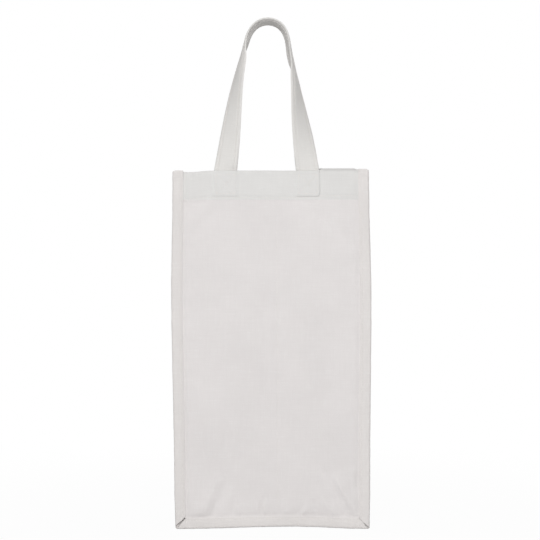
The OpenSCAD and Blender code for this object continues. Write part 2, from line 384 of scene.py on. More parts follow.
@dataclass(frozen=True)
class Drape:
    """How the empty bag gives as it stands: one smooth move of every point.

    The body widens at half height, each face bellies in two lobes with a valley where the
    divider is sewn, the base hangs between its two fins, and the face carries the relief
    of what is sewn behind it.
    """

    sizes: BagSizes
    # How much more the seeds of the waves are at the back, and on the left gusset
    back_seed: int = 30
    left_seed: int = 4
    # How much wider the body is where it swells most, at the foot and at the mouth
    swell: float = 0.0215
    end_swell: Pair = (-0.0058, -0.0040)
    # Height of the widest place, and how far the swelling reaches below and above it
    swell_z: float = 232 * MM
    swell_reach: Pair = mm(110, 75)
    # How much narrower, as a share, the lowest stretch is, and its height
    foot_tuck: float = 0.008
    foot_tuck_h: float = 42 * MM
    # Shift to the right of the foot and of the mouth
    shift: Pair = mm(1.4, -0.45)
    # The belly's height, what of it is left over the divider, and the power of its sines
    belly: float = 2.6 * MM
    valley_share: float = 0.35
    fullness: float = 0.8
    # Shares of the mouth's height between which the belly dies out
    belly_top: Pair = (0.5, 0.98)
    # The cloth is uneven in long and in short waves, which lose this share over a band
    # beside the wall
    ripple: Uneven = Uneven(0.55 * MM, mm(70, 190), 10)
    wrinkle: Uneven = Uneven(0.16 * MM, mm(14, 34), 11)
    calm: float = 0.8
    calm_band: Pair = mm(-10, 4)
    # Height above the base's fin at which the long waves are in full
    calm_foot: float = 20 * MM
    # How far the rim leans out to the right of the strap, and over which heights, counted
    # from the mouth, and places it comes and goes
    lip: float = 2.2 * MM
    lip_band: Pair = mm(-2.4, 0.4)
    lip_from: Pair = mm(49.4, 52)
    lip_to: Pair = mm(84, 91)
    # A sharp tuck in the front rim, close beside the strap: its place, half width, depth
    # and heights
    tuck_x: float = 49.2 * MM
    tuck_w: float = 0.75 * MM
    tuck: float = 1.5 * MM
    tuck_band: Pair = mm(-6, -1)
    # The cloth dips beside the tapes, by this share less at the right, and rolls out over
    # the base, less and less from this place to the wall
    side_dip: Ridge = Ridge(*mm(1, -1, 1.7))
    base_dip: Ridge = Ridge(*mm(0.75, 1.2, 2.2))
    right_less: float = 0.4
    base_roll: Ridge = Ridge(*mm(0.5, 9, 6))
    roll_from: float = 70 * MM
    # Puckers along the side seams, the base seam and the hem's row, each over its own band
    side_pucker: Uneven = Uneven(0.22 * MM, mm(9, 17), 12, (0.35, 1.0))
    side_band: Pair = mm(-4, 6)
    base_pucker: Uneven = Uneven(0.30 * MM, mm(9, 17), 13, (1.0, 0.35))
    base_band: Pair = mm(5, 7)
    hem_pucker: Uneven = Uneven(0.16 * MM, mm(8, 15), 14, (1.0, 0.3))
    hem_band: Pair = mm(0, 6)
    # The hem's step, over which heights it comes, and what is lost of it up to the mouth
    hem_step: float = 0.4 * MM
    hem_edge: Pair = mm(-1, 0.8)
    hem_fade: float = 0.5
    # Stitches pull the cloth in along the hem's row, along the divider's, over heights
    # from its foot and its top, and in the boxes
    row_dip: Ridge = Ridge(*mm(0.4, 0, 0.9))
    divider_dip: Ridge = Ridge(*mm(0.25, 0, 1))
    divider_from: Pair = mm(0, 4)
    divider_to: Pair = mm(-19, -15)
    box_dip: Ridge = Ridge(*mm(0.3, 0, 0.8))
    box_over: float = 1 * MM
    # Relief of the strap's left and right end through the cloth, with its soft edges
    strap_relief: Pair = mm(0.8, 1.2)
    patch_side: Pair = mm(-0.4, 1.4)
    patch_foot: Pair = mm(-1.6, 0.4)
    # The base hangs, over these heights above its fin
    base_sag: float = 2.5 * MM
    sag_band: Pair = mm(2, 60)
    # How far the bottom edges arch up, where they do so most, how far to each side and up
    base_arch: float = 2.3 * MM
    arch_x: float = 18 * MM
    arch_reach: Pair = mm(105, 75)
    arch_h: float = 70 * MM
    # The front rim falls to the left in a dip and a slope, and a little at the right
    left_dip: Step = Step(*mm(0.5, 60, 80))
    left_dip_end: Pair = mm(82, 88)
    left_fall: Step = Step(*mm(1.3, 55, 86))
    right_fall: Step = Step(*mm(0.5, 83, 87))
    # It stands up to the right of the strap, and less so in the end
    slack: Step = Step(*mm(2.1, 46.8, 48.8))
    slack_end: Step = Step(0.55, 83 * MM, 87 * MM)
    front_rim: Uneven = Uneven(0.15 * MM, mm(50, 130), 71)
    back_rim: Uneven = Uneven(0.6 * MM, mm(60, 140), 72)
    back_lift: Step = Step(*mm(3, 20, 80))
    # Share of the mouth's height from which the rim's moves are felt
    rim_from: float = 0.72
    # The gussets give from this share of the half width on, over the height of their foot
    wall_from: float = 0.6
    wall_foot: float = 60 * MM
    wall_slow: Uneven = Uneven(1.5 * MM, mm(45, 150), 81)
    wall_quick: Uneven = Uneven(0.225 * MM, mm(16, 40), 83)
    divider_slow: Uneven = Uneven(0.9 * MM, mm(60, 200), 91)
    # Heights over the fin between which the folds start
    fold_foot: Pair = mm(-3, 3)
    front_folds: tuple[Fold, ...] = (
        Fold((-0.069, 0.012), (-0.06, 0.034), 0.006, -0.004, 0.4),
        Fold((-0.06, 0.036), (-0.05, 0.05), 0.0052, -0.0015, 0.4),
        Fold((-0.076, 0.013), (-0.074, 0.042), 0.006, 0.0012, -0.6),
        Fold((0.0815, 0.017), (0.0626, 0.049), 0.0044, -0.0027, -0.4),
        Fold((0.07, 0.012), (0.054, 0.03), 0.004, 0.001, -0.5),
        Fold((0.085, 0.04), (0.0845, 0.056), 0.0026, 0.0012, -0.3),
        Fold((-0.039, 0.012), (-0.035, 0.03), 0.0034, 0.0014, 0.4),
        Fold((-0.03, 0.012), (-0.033, 0.026), 0.0028, 0.0009, -0.4),
        Fold((-0.01, 0.012), (-0.007, 0.03), 0.0026, 0.0014, 0.5),
        Fold((0.009, 0.012), (0.014, 0.022), 0.0028, 0.001, 0.5),
        Fold((0.026, 0.012), (0.033, 0.022), 0.0026, 0.001, 0.5),
        Fold((0.043, 0.014), (0.04, 0.027), 0.0028, 0.0009, -0.4),
        Fold((-0.068, 0.072), (-0.065, 0.106), 0.0042, 0.001, 0.5),
        Fold((-0.044, 0.074), (-0.0425, 0.104), 0.0042, 0.0009, 0.5),
        Fold((0.057, 0.048), (0.05, 0.058), 0.0036, 0.0009, -0.5),
        Fold((0.052, 0.12), (0.047, 0.215), 0.012, 0.0014, -0.5),
        Fold((-0.055, 0.15), (-0.052, 0.27), 0.014, 0.0012, 0.5),
        Fold((0.078, 0.29), (0.045, 0.318), 0.006, 0.001, 0.5),
        Fold((-0.079, 0.3), (-0.05, 0.322), 0.006, 0.0008, -0.5),
    )
    back_folds: tuple[Fold, ...] = (
        Fold((-0.08, 0.013), (-0.052, 0.052), 0.006, 0.0018, 0.6),
        Fold((0.079, 0.012), (0.06, 0.041), 0.0052, 0.002, -0.6),
        Fold((-0.03, 0.012), (-0.024, 0.027), 0.0038, 0.0007, 0.5),
        Fold((0.018, 0.012), (0.022, 0.026), 0.0032, 0.0007, -0.5),
        Fold((0.044, 0.012), (0.04, 0.023), 0.003, 0.0006, 0.4),
        Fold((0.04, 0.11), (0.05, 0.225), 0.012, 0.0008, 0.4),
        Fold((-0.046, 0.095), (-0.056, 0.18), 0.011, 0.0007, -0.4),
    )
    wall_folds: tuple[Fold, ...] = (
        Fold((-0.038, 0.026), (-0.012, 0.07), 0.005, 0.0021, 0.5),
        Fold((0.036, 0.02), (0.018, 0.048), 0.0044, 0.0017, -0.5),
        Fold((-0.03, 0.205), (0.012, 0.24), 0.008, 0.0014, 0.5),
        Fold((0.036, 0.318), (0.01, 0.27), 0.006, 0.0013, -0.5),
    )

    def relief(self, x: Array, z: Array, side: Side) -> Array:
        """How far a face stands out from flat.

        Args:
            x: Places across the face.
            z: Heights on the face.
            side: Which face.

        Returns:
            The outward move at each point.
        """
        s = self.sizes
        more = self.back_seed if side is Side.BACK else 0
        part = np.clip(x / s.wall_x, -1, 1)
        lobes = np.abs(np.sin(math.pi * part)) ** self.fullness
        lobes = np.maximum(lobes, self.valley_share * (1 - part**2))
        up = np.clip(z / s.mouth, 0, 1)
        standing = np.sin(math.pi * up) ** self.fullness * (1 - rise(z / s.mouth, *self.belly_top))
        inner = 1 - self.calm * rise(np.abs(x) - s.wall_x, *self.calm_band)
        out = self.belly * lobes * standing
        out += self.ripple.at(x, z, more) * inner * rise(z, 0, s.fin_w + self.calm_foot)
        out += self.wrinkle.at(x, z, more) * inner
        if side is Side.FRONT:
            out += self.rim_relief(x, z - s.mouth)
        folds = self.front_folds if side is Side.FRONT else self.back_folds
        out += sum(fold.height(x, z) for fold in folds) * rise(z - s.fin_w, *self.fold_foot)
        return out + self.sewn_relief(x, z, more)

    def rim_relief(self, x: Array, over: Array) -> Array:
        """How the front rim leans out to the right of the strap, with a tuck beside it.

        Args:
            x: Places across the face.
            over: Heights above the mouth.

        Returns:
            The outward move at each point.
        """
        lean = rise(over, *self.lip_band) * rise(x, *self.lip_from) * (1 - rise(x, *self.lip_to))
        tucked = hump(x, self.tuck_x, self.tuck_w) * rise(over, *self.tuck_band)
        return self.lip * lean - self.tuck * tucked

    def sewn_relief(self, x: Array, z: Array, more: int) -> Array:
        """The relief of the seams, the hem and the strap's ends under a face.

        Args:
            x: Places across the face.
            z: Heights on the face.
            more: How much more the seeds of the waves are on this face.

        Returns:
            The outward move at each point.
        """
        s = self.sizes
        away = np.abs(x)
        from_tape = away - (s.half_w - s.tape_w)
        above = z - s.fin_w
        over_row = z - s.row_z
        near_side = self.side_dip.at(from_tape) * (1 - self.right_less * rise(x, 0, s.wall_x))
        near_base = self.base_dip.at(z - s.tape_w) * (from_tape < 0)
        out = -np.maximum(near_side, near_base)
        # Over the base the cloth rolls out before it turns up into the face
        out += self.base_roll.at(above) * (1 - rise(away, self.roll_from, s.wall_x))
        # The feed of the machine gathers the cloth a little along every seam
        out += self.side_pucker.at(x, z, more) * hump(away - s.wall_x, *self.side_band)
        out += self.base_pucker.at(x, z, more) * hump(above, *self.base_band)
        out += self.hem_pucker.at(x, z, more) * hump(over_row, *self.hem_band)
        hem = rise(z - s.hem_low, *self.hem_edge)
        out += self.hem_step * hem * (1 - self.hem_fade * rise(z, s.row_z, s.mouth))
        sewn = rise(z - s.divider_low, *self.divider_from)
        sewn = sewn * (1 - rise(z - s.divider_high, *self.divider_to))
        out -= self.row_dip.at(over_row) + self.divider_dip.at(x - s.divider_edge / 2) * sewn
        for hand in Hand:
            off = np.abs(x - s.strap_mid - hand.value * s.strap_half)
            patch = 1 - rise(off - s.strap_w / 2, *self.patch_side)
            patch = patch * rise(z - s.strap_low, *self.patch_foot)
            out += self.strap_relief[hand is Hand.RIGHT] * patch - self.box_rows(off, z)
        return out

    def box_rows(self, off: Array, z: Array) -> Array:
        """How far the crossed box of stitches through a strap's end pulls the cloth in.

        Args:
            off: Distance from the upright line through the middle of the strap.
            z: Heights on the face.

        Returns:
            The pull, as a bell of the distance from the nearest row.
        """
        half, low, high = self.sizes.box
        tall = (high - low) / 2
        up = np.abs(z - (low + high) / 2)
        within = (off <= half + self.box_over) & (up <= tall + self.box_over)
        edge = np.minimum(np.abs(off - half), np.abs(up - tall))
        cross = np.abs(off * tall - up * half) / math.hypot(half, tall)
        return self.box_dip.at(np.minimum(edge, cross)) * within

    def mouth_rise(self, x: Array, y: Array) -> Array:
        """How far the rim of the mouth stands above its even height.

        Args:
            x: Places across the bag.
            y: Places from the front to the back.

        Returns:
            The upward move at each point.
        """
        front = self.front_rim.at(x, 0) - self.right_fall.at(x)
        front -= self.left_dip.at(-x) * (1 - rise(-x, *self.left_dip_end)) + self.left_fall.at(-x)
        front += self.slack.at(x) * (1 - self.slack_end.at(x))
        back = self.back_rim.at(x, 0) + self.back_lift.at(x)
        share = rise(y, -self.sizes.half_d, self.sizes.half_d)
        return front * (1 - share) + back * share

    def wall_give(self, y: Array, z: Array, more: int) -> Array:
        """How far a gusset's wall gives outwards, in slow and quick waves and a few folds.

        Args:
            y: Places across the gusset.
            z: Heights.
            more: How much more the seeds of the waves are on this side.

        Returns:
            The outward move at each point.
        """
        uneven = self.wall_slow.at(y, z, more) + self.wall_quick.at(y, z, more)
        return uneven + sum(fold.height(y, z) for fold in self.wall_folds)

    def moved(self, points: Array) -> Array:
        """Where the standing bag holds points of its flat pattern.

        Args:
            points: Points in the frame, with their coordinates on the last axis.

        Returns:
            The moved points, in an array of the same shape.
        """
        s = self.sizes
        x, y, z = points[..., 0], points[..., 1], points[..., 2]
        up = np.clip(z / s.mouth, 0, 1)
        reach = np.where(z < self.swell_z, *self.swell_reach)
        wide = 1 + self.end_swell[0] * (1 - up) + self.end_swell[1] * up
        wide = wide + self.swell * hump(z, self.swell_z, reach)
        wide = wide - self.foot_tuck * (1 - rise(z, 0, self.foot_tuck_h))
        to_x = x * wide + self.shift[0] * (1 - up) + self.shift[1] * up
        across = 1 - np.clip(y / s.seam_y, -1, 1) ** 2
        inside = self.wall_from * s.wall_x
        at_wall = rise(np.abs(x), inside, s.wall_x) * across * rise(z, 0, self.wall_foot)
        to_x = to_x + at_wall * (x > 0) * self.wall_give(y, z, 0)
        to_x = to_x - at_wall * (x < 0) * self.wall_give(y, z, self.left_seed)
        at_middle = 1 - rise(np.abs(x), 0, inside)
        to_x = to_x + across * at_middle * self.divider_slow.at(y, z)
        depth = np.clip(np.abs(y) / s.seam_y, 0, 1) ** 2
        to_y = y - depth * self.relief(x, z, Side.FRONT) * (y < 0)
        to_y = to_y + depth * self.relief(x, z, Side.BACK) * (y > 0)
        floor_part = np.clip(1 - (x / s.wall_x) ** 2, 0, 1)
        low = rise(z, 0, s.fin_w) * (1 - rise(z - s.fin_w, *self.sag_band))
        to_z = z - self.base_sag * floor_part * across * low
        off = x - self.arch_x
        arch = np.clip(1 - (off / np.where(off < 0, *self.arch_reach)) ** 2, 0, 1) ** 2
        to_z = to_z + self.base_arch * arch * depth * (1 - rise(z, 0, self.arch_h))
        to_z = to_z + self.mouth_rise(x, y) * rise(z, self.rim_from * s.mouth, s.mouth)
        # The floor stops what would swell below it
        return joined(to_x, to_y, np.maximum(to_z, 0))


@dataclass(frozen=True)
class HemRun:
    """The middle line of a sheet that stands up, folds over at the top and hangs down inside.

    It is a straight line, a half circle and a straight line down, held as columns of a
    grid: how far each row stands in from the outer run, its height, its distance along
    the sheet, and a share from 0 outside to 1 inside.
    """

    inset: Array
    height: Array
    length: Array
    inside: Array
    # Height and spacing of the rows at the foot, and how far below the turned edge the
    # closer rows begin
    foot_h: float = 30 * MM
    foot_step: float = 1.5 * MM
    lead: float = 4 * MM
    turn_rows: int = 9
    # How far in, in radii of the fold, the share is complete
    complete: float = 1.6

    @classmethod
    def laid(cls, sizes: BagSizes, bottom: float, rim: float, depth: float, steps: Pair) -> "HemRun":
        """Lays the line out.

        Args:
            sizes: The bag's sizes, which hold the cloth's thickness and the fold's radius.
            bottom: Height of the sheet's lower edge.
            rim: Height of the sheet's top.
            depth: Height of the turned edge below the middle of the fold's half circle.
            steps: Spacing below the hem, and within it.

        Returns:
            The line.
        """
        bend = sizes.bend
        top = rim - sizes.sheet_t / 2 - bend
        near = top - depth
        foot = min(bottom + cls.foot_h, near - MM)
        heights = graded((bottom, foot, near - cls.lead, top), (cls.foot_step, *steps))
        turn = np.linspace(0, math.pi, cls.turn_rows)[1:-1]
        back = graded((top, near), steps[1:])
        inset = np.concatenate([0 * heights, bend * (1 - np.cos(turn)), 0 * back + 2 * bend])
        height = np.concatenate([heights, top + bend * np.sin(turn), back])
        inside = rise(inset, 0, cls.complete * bend)
        return cls(*(part[:, None] for part in (inset, height, run_length(inset, height), inside)))


def run_length(*parts: Array) -> Array:
    """Distance along a line from its first point.

    Args:
        parts: The coordinates of the line's points.

    Returns:
        The distance at each point.
    """
    steps = np.sqrt(sum(np.diff(part) ** 2 for part in parts))
    return np.concatenate([[0.0], np.cumsum(steps)])


@dataclass(frozen=True)
class Threads:
    """Stitches with a middle, a direction, a side and an up direction each."""

    middle: Array
    run: Array
    side: Array
    up: Array
    # A stitch's length and radius, and about how far apart stitches are as a rule
    length: float = 2.5 * MM
    radius: float = 0.32 * MM
    pitch: float = 3.3 * MM

    @classmethod
    def row(cls, start: Spot, end: Spot, up: Spot, pitch: float = pitch) -> "Threads":
        """A straight row of stitches from one point to another.

        Args:
            start: Where the row begins.
            end: Where the row ends.
            up: Direction that points away from the cloth.
            pitch: About how far apart the stitches are.

        Returns:
            The row's stitches.
        """
        start, end, up = np.array(start, float), np.array(end, float), np.array(up, float)
        length = float(np.linalg.norm(end - start))
        run = (end - start) / length
        count = max(1, round(length / pitch))
        part = (np.arange(count)[:, None] + 0.5) / count
        shape = (count, 3)
        return cls(
            start + part * (end - start),
            np.broadcast_to(run, shape),
            np.broadcast_to(np.cross(up, run), shape),
            np.broadcast_to(up, shape),
        )


def new_object(name: str, data: bpy.types.ID) -> bpy.types.Object:
    """Makes an object of a mesh, a lamp or a camera and puts it in the scene."""
    made = bpy.data.objects.new(name, data)
    bpy.context.scene.collection.objects.link(made)
    return made


def thickened(middle: Array, thickness: float) -> tuple[Array, Array]:
    """The two faces of a sheet, half its thickness to each side of its middle surface.

    The normal is the cross product of the steps along the rows and the columns.

    Args:
        middle: Grid of points on the middle surface.
        thickness: Thickness of the sheet.

    Returns:
        The grids of both faces.
    """
    normal = unit(np.cross(np.gradient(middle, axis=0), np.gradient(middle, axis=1)))
    return middle + normal * (thickness / 2), middle - normal * (thickness / 2)


def tube_faces(rings: int, ring: int) -> Array:
    """The four-sided faces of a tube.

    Args:
        rings: How many rings of points the tube has.
        ring: How many points each ring has.

    Returns:
        The numbers of the corners, one face a row.
    """
    r, c = np.meshgrid(np.arange(rings - 1), np.arange(ring), indexing="ij")
    here, beside = r * ring + c, r * ring + (c + 1) % ring
    return joined(here, beside, beside + ring, here + ring).reshape(-1, 4)


class ClothMesh:
    """Collects closed sheets and stitches as whole arrays and makes one mesh of them."""

    # A stitch's rings: how many points each has, their places along half of the stitch,
    # and their radii as shares of the thread's
    ring: int = 6
    along: tuple[float, ...] = (-1.0, -0.72, 0.0, 0.72, 1.0)
    radii: tuple[float, ...] = (0.25, 0.8, 1.0, 0.8, 0.25)
    # The two faces that close a ring, by its points
    cap: tuple[tuple[int, ...], ...] = ((0, 1, 2, 3), (0, 3, 4, 5))
    # Angle in degrees past which an edge stays sharp
    sharp: float = 50.0

    def __init__(self) -> None:
        """Starts with nothing in the mesh."""
        self.points: list[Array] = []
        self.faces: list[Array] = []
        self.maps: list[Array] = []
        self.count = 0

    def add(self, points: Array, faces: Array, flat: Array) -> None:
        """Adds closed surfaces, turned so that their faces point outwards.

        The sign of the volume, a sixth of the sum of a . (b x c) over the triangles of
        every face, says whether the faces point out.

        Args:
            points: Places of the vertices, one a row.
            faces: Corners of the four-sided faces, one face a row.
            flat: Place of each face's corners on the flat cloth.
        """
        a, b, c, d = (points[faces[:, k]] for k in range(4))
        volume = np.einsum("ij,ij->", a, np.cross(b, c)) + np.einsum("ij,ij->", a, np.cross(c, d))
        if volume < 0:
            faces, flat = faces[:, ::-1], flat[:, ::-1]
        self.points.append(points)
        self.faces.append(faces + self.count)
        self.maps.append(flat)
        self.count += len(points)

    def add_sheet(self, outer: Array, inner: Array, flat: Array) -> None:
        """Adds a sheet with a thickness as a closed shell.

        The two faces are grids of the same shape. Their rows are joined into rings, the
        rings into a tube, and the tube is closed by a strip of faces at each end.

        Args:
            outer: Grid of points on one face.
            inner: Grid of points on the other face.
            flat: Grid of places on the flat cloth.
        """
        rows, cols = outer.shape[:2]
        ring = 2 * cols
        points = np.concatenate([outer, inner[:, ::-1]], axis=1).reshape(-1, 3)
        places = np.concatenate([flat, flat[:, ::-1]], axis=1).reshape(-1, 2)
        k = np.arange(cols - 1)
        strip = joined(k + 1, k, ring - 1 - k, ring - 2 - k)
        last = (rows - 1) * ring + strip[:, ::-1]
        faces = np.concatenate([tube_faces(rows, ring), strip, last])
        self.add(points, faces, places[faces])

    def add_stitches(self, threads: Threads, place: Drape | None) -> None:
        """Adds one short closed length of thread for each stitch.

        A stitch is a barrel: rings of points whose radius follows the square root of
        1 - u squared along the stitch, closed by a short end face at each tip.

        Args:
            threads: Where the stitches lie, and their size.
            place: The drape that moves them, or None if they are in place.
        """
        rings, size = len(self.along), self.ring * len(self.along)
        turns = np.arange(self.ring) * math.tau / self.ring
        radii = np.array(self.radii)[:, None]
        u = np.repeat(self.along, self.ring)
        v, w = (radii * np.cos(turns)).ravel(), (radii * np.sin(turns)).ravel()
        run = threads.run * threads.length / 2
        wide, tall = threads.side * threads.radius, threads.up * threads.radius
        points = threads.middle[:, None] + u[:, None] * run[:, None]
        points = points + v[:, None] * wide[:, None] + w[:, None] * tall[:, None]
        if place is not None:
            points = place.moved(points)
        cap = np.array(self.cap)
        one = np.concatenate([tube_faces(rings, self.ring), cap[:, ::-1], cap + size - self.ring])
        faces = (one[None] + size * np.arange(len(points))[:, None, None]).reshape(-1, 4)
        flat = joined(u * threads.length / 2, v * threads.radius)
        flat = np.broadcast_to(flat, (len(points), size, 2)).reshape(-1, 2)
        self.add(points.reshape(-1, 3), faces, flat[faces])

    def made(self, name: str, material: bpy.types.Material) -> bpy.types.Object:
        """Makes the Blender object from what was added.

        Args:
            name: Name of the object and its mesh.
            material: The finish of the whole piece.

        Returns:
            The new object, at the origin.
        """
        points = np.concatenate(self.points).astype(np.float32)
        faces = np.concatenate(self.faces).astype(np.int32)
        flat = np.concatenate(self.maps).astype(np.float32)
        mesh = bpy.data.meshes.new(name)
        mesh.vertices.add(len(points))
        mesh.vertices.foreach_set("co", points.ravel())
        mesh.loops.add(faces.size)
        mesh.loops.foreach_set("vertex_index", faces.ravel())
        mesh.polygons.add(len(faces))
        mesh.polygons.foreach_set("loop_start", np.arange(0, faces.size, 4, dtype=np.int32))
        mesh.update(calc_edges=True)
        layer = mesh.uv_layers.new(name=FLAT_MAP)
        layer.uv.foreach_set("vector", flat.reshape(-1))
        mesh.polygons.foreach_set("use_smooth", np.ones(len(faces), dtype=bool))
        mesh.set_sharp_from_angle(angle=math.radians(self.sharp))
        mesh.validate()
        mesh.materials.append(material)
        return new_object(name, mesh)


def linear(colour: str) -> tuple[float, float, float, float]:
    """An sRGB hex colour as the linear values that a shader takes.

    Args:
        colour: The colour, such as "#e3dfdd".

    Returns:
        Linear red, green and blue, and an alpha of 1.
    """
    parts = [int(colour[k : k + 2], 16) / 255 for k in (1, 3, 5)]
    red, green, blue = (p / 12.92 if p <= 0.04045 else ((p + 0.055) / 1.055) ** 2.4 for p in parts)
    return red, green, blue, 1.0


def add_node(tree: Tree, kind: str, settings: dict | None = None, **inputs: object) -> bpy.types.Node:
    """Adds a shader node with its settings and its inputs.

    Args:
        tree: The node tree that gets it.
        kind: The node's type, without the leading ShaderNode.
        settings: Attributes of the node, by name.
        inputs: Values or sockets for its inputs, by name, or by in0, in1 for a place.

    Returns:
        The new node.
    """
    made = tree.nodes.new("ShaderNode" + kind)
    for name, value in (settings or {}).items():
        setattr(made, name, value)
    for name, value in inputs.items():
        spot = int(name[2:]) if name[:2] == "in" and name[2:].isdigit() else name.replace("_", " ")
        if isinstance(value, Socket):
            tree.links.new(value, made.inputs[spot])
        else:
            made.inputs[spot].default_value = value
    return made


def worked_out(tree: Tree, kind: str, operation: str, *parts: object) -> Socket:
    """Adds a node that works something out of its inputs.

    Args:
        tree: The node tree that gets it.
        kind: The node's type, Math or VectorMath.
        operation: What it does with its inputs.
        parts: Values or sockets for its inputs, in order.

    Returns:
        The socket of the result.
    """
    inputs = {f"in{k}": part for k, part in enumerate(parts)}
    return add_node(tree, kind, {"operation": operation}, **inputs).outputs[0]


def ranged(tree: Tree, value: Socket, span: Pair, to: Pair, kind: str = "SMOOTHSTEP") -> Socket:
    """Adds a node that carries a value over from one range to another.

    Args:
        tree: The node tree that gets it.
        value: What it carries over.
        span: The range that the value comes from.
        to: The range that it goes to.
        kind: How it goes between the ends.

    Returns:
        The socket of the result.
    """
    ends = {"in1": span[0], "in2": span[1], "in3": to[0], "in4": to[1]}
    return add_node(tree, "MapRange", {"interpolation_type": kind}, Value=value, **ends).outputs[0]


def fresh_tree(owner: bpy.types.Material | bpy.types.World) -> Tree:
    """The node tree of a new material or world, emptied."""
    owner.use_nodes = True
    owner.node_tree.nodes.clear()
    return owner.node_tree


@dataclass(frozen=True)
class WovenFinish:
    """A matte woven cotton whose threads cross over and under each other.

    The threads' lines are sines of the place on the flat cloth. Where their product is
    positive a lengthwise thread lies on top, and elsewhere a crosswise one, and the root
    of its size is the height of the cloth. The hollows between the crowns are painted in a
    darker tint, as painted shade. Thick and thin stretches of thread are noise drawn out
    along them, and a slow cloudiness is noise over the whole piece.
    """

    name: str
    colour: str
    # Tint of the hollows between threads, darker as painted shade, and of the thicker threads
    hollow_shade: str
    slub: str
    # Spacing of the threads in the drawing of the weave
    pitch: float
    # How high the threads stand in the relief
    relief: float
    roughness: float = 0.9
    sheen: float = 0.12
    # How much of the thread's thick stretches shows, and how much of the cloudiness
    slubs: float = 0.6
    cloud: float = 0.045
    # How much wider than long a crossing is drawn, for ribbed tape
    rib: float = 1.0
    # Painted shade: a cooler tint that the colour is multiplied by where the cloth lies double in the hem
    painted_hem_shade: str = "#ffffff"
    # The threads wander by this share of their spacing, in waves of about this length
    wander: float = 0.5
    wander_length: float = 12 * MM
    # Scale of the thick stretches across and along the thread, and between which values
    # of the noise a thread grows thick
    slub_scale: Pair = (900.0, 60.0)
    slub_range: Pair = (0.92, 1.4)
    # Size of the clouds, and between which values of the noise they are drawn
    cloud_size: float = 55 * MM
    cloud_range: Pair = (0.3, 0.7)
    # Size of the fuzz, between which values of the noise it is drawn, and how far it
    # takes the roughness up and down
    fuzz_size: float = 0.35 * MM
    fuzz_range: Pair = (0.2, 0.8)
    fuzz_rough: float = 0.06
    # Heights of thick stretches and fuzz in the relief, where a crossing stands 1 high
    slub_height: float = 0.3
    fuzz_height: float = 0.35

    def crossings(self, tree: Tree, flat: Socket) -> Socket:
        """How high the threads stand: 0 in the hollows, and 1 on top of a crossing.

        Args:
            tree: The material's node tree.
            flat: Place on the flat cloth.

        Returns:
            The socket of the height.
        """
        pace = math.pi / self.pitch
        noise = add_node(tree, "TexNoise", Vector=flat, Scale=1 / self.wander_length, Detail=2.0)
        share = (self.wander * self.pitch,) * 3
        bent = worked_out(tree, "VectorMath", "MULTIPLY_ADD", noise.outputs["Color"], share, flat)
        turned = worked_out(tree, "VectorMath", "MULTIPLY", bent, (pace, pace / self.rib, 0.0))
        axes = add_node(tree, "SeparateXYZ", Vector=turned).outputs
        warp = worked_out(tree, "Math", "SINE", axes["X"])
        weft = worked_out(tree, "Math", "SINE", axes["Y"])
        size = worked_out(tree, "Math", "ABSOLUTE", worked_out(tree, "Math", "MULTIPLY", warp, weft))
        return worked_out(tree, "Math", "POWER", size, 0.5)

    def thick_stretches(self, tree: Tree, flat: Socket) -> Socket:
        """How much thicker the thread is, from noise drawn out along both kinds of thread.

        Args:
            tree: The material's node tree.
            flat: Place on the flat cloth.

        Returns:
            The socket of the share.
        """
        fine, long = self.slub_scale
        noises = []
        for scale in ((fine, long, 0.0), (long, fine, 0.0)):
            spot = worked_out(tree, "VectorMath", "MULTIPLY", flat, scale)
            noises.append(add_node(tree, "TexNoise", Vector=spot, Scale=1.0, Detail=3.0).outputs["Fac"])
        both = worked_out(tree, "Math", "ADD", *noises)
        return ranged(tree, both, self.slub_range, (0.0, self.slubs))

    def made(self, hem_low: float) -> bpy.types.Material:
        """Builds the material.

        Args:
            hem_low: Height from which the cloth lies double, and from which the hem's painted shade is
                multiplied in.

        Returns:
            The new material.
        """
        material = bpy.data.materials.new(self.name)
        tree = fresh_tree(material)
        flat = add_node(tree, "UVMap", {"uv_map": FLAT_MAP}).outputs["UV"]
        crown = self.crossings(tree, flat)
        thick = self.thick_stretches(tree, flat)
        clouds = add_node(tree, "TexNoise", Vector=flat, Scale=1 / self.cloud_size, Detail=4.0,
                          Roughness=0.55).outputs["Fac"]
        fuzz = add_node(tree, "TexNoise", Vector=flat, Scale=1 / self.fuzz_size, Detail=2.0).outputs["Fac"]
        # Painted shade: the hollows between crossings take a darker tint than the crowns
        hollow_shaded = add_node(tree, "MixRGB", Fac=crown, Color1=linear(self.hollow_shade), Color2=linear(self.colour))
        slubbed = add_node(tree, "MixRGB", Fac=thick, Color1=hollow_shaded.outputs[0], Color2=linear(self.slub))
        soft = ranged(tree, clouds, self.cloud_range, (1 - self.cloud / 2, 1 + self.cloud / 2), "LINEAR")
        cloudy = add_node(tree, "VectorMath", {"operation": "SCALE"}, in0=slubbed.outputs[0], Scale=soft)
        spot = add_node(tree, "TexCoord").outputs["Object"]
        height = add_node(tree, "SeparateXYZ", Vector=spot).outputs["Z"]
        # Painted shade: over the hem the colour is multiplied by a cooler tint
        hem_shade_mask = ranged(tree, height, (hem_low - MM, hem_low + MM), (0.0, 1.0))
        shade = add_node(tree, "MixRGB", {"blend_type": "MULTIPLY"}, Fac=hem_shade_mask,
                         Color1=cloudy.outputs[0], Color2=linear(self.painted_hem_shade))
        raised = worked_out(tree, "Math", "MULTIPLY_ADD", thick, self.slub_height, crown)
        raised = worked_out(tree, "Math", "MULTIPLY_ADD", fuzz, self.fuzz_height, raised)
        bump = add_node(tree, "Bump", Strength=0.8, Distance=self.relief, Height=raised)
        swing = (self.roughness - self.fuzz_rough, self.roughness + self.fuzz_rough)
        rough = ranged(tree, fuzz, self.fuzz_range, swing, "LINEAR")
        shader = add_node(tree, "BsdfPrincipled", Base_Color=shade.outputs[0], Roughness=rough,
                          Normal=bump.outputs[0], Specular_IOR_Level=0.25, Sheen_Weight=self.sheen,
                          Sheen_Roughness=0.5)
        add_node(tree, "OutputMaterial", Surface=shader.outputs[0])
        return material
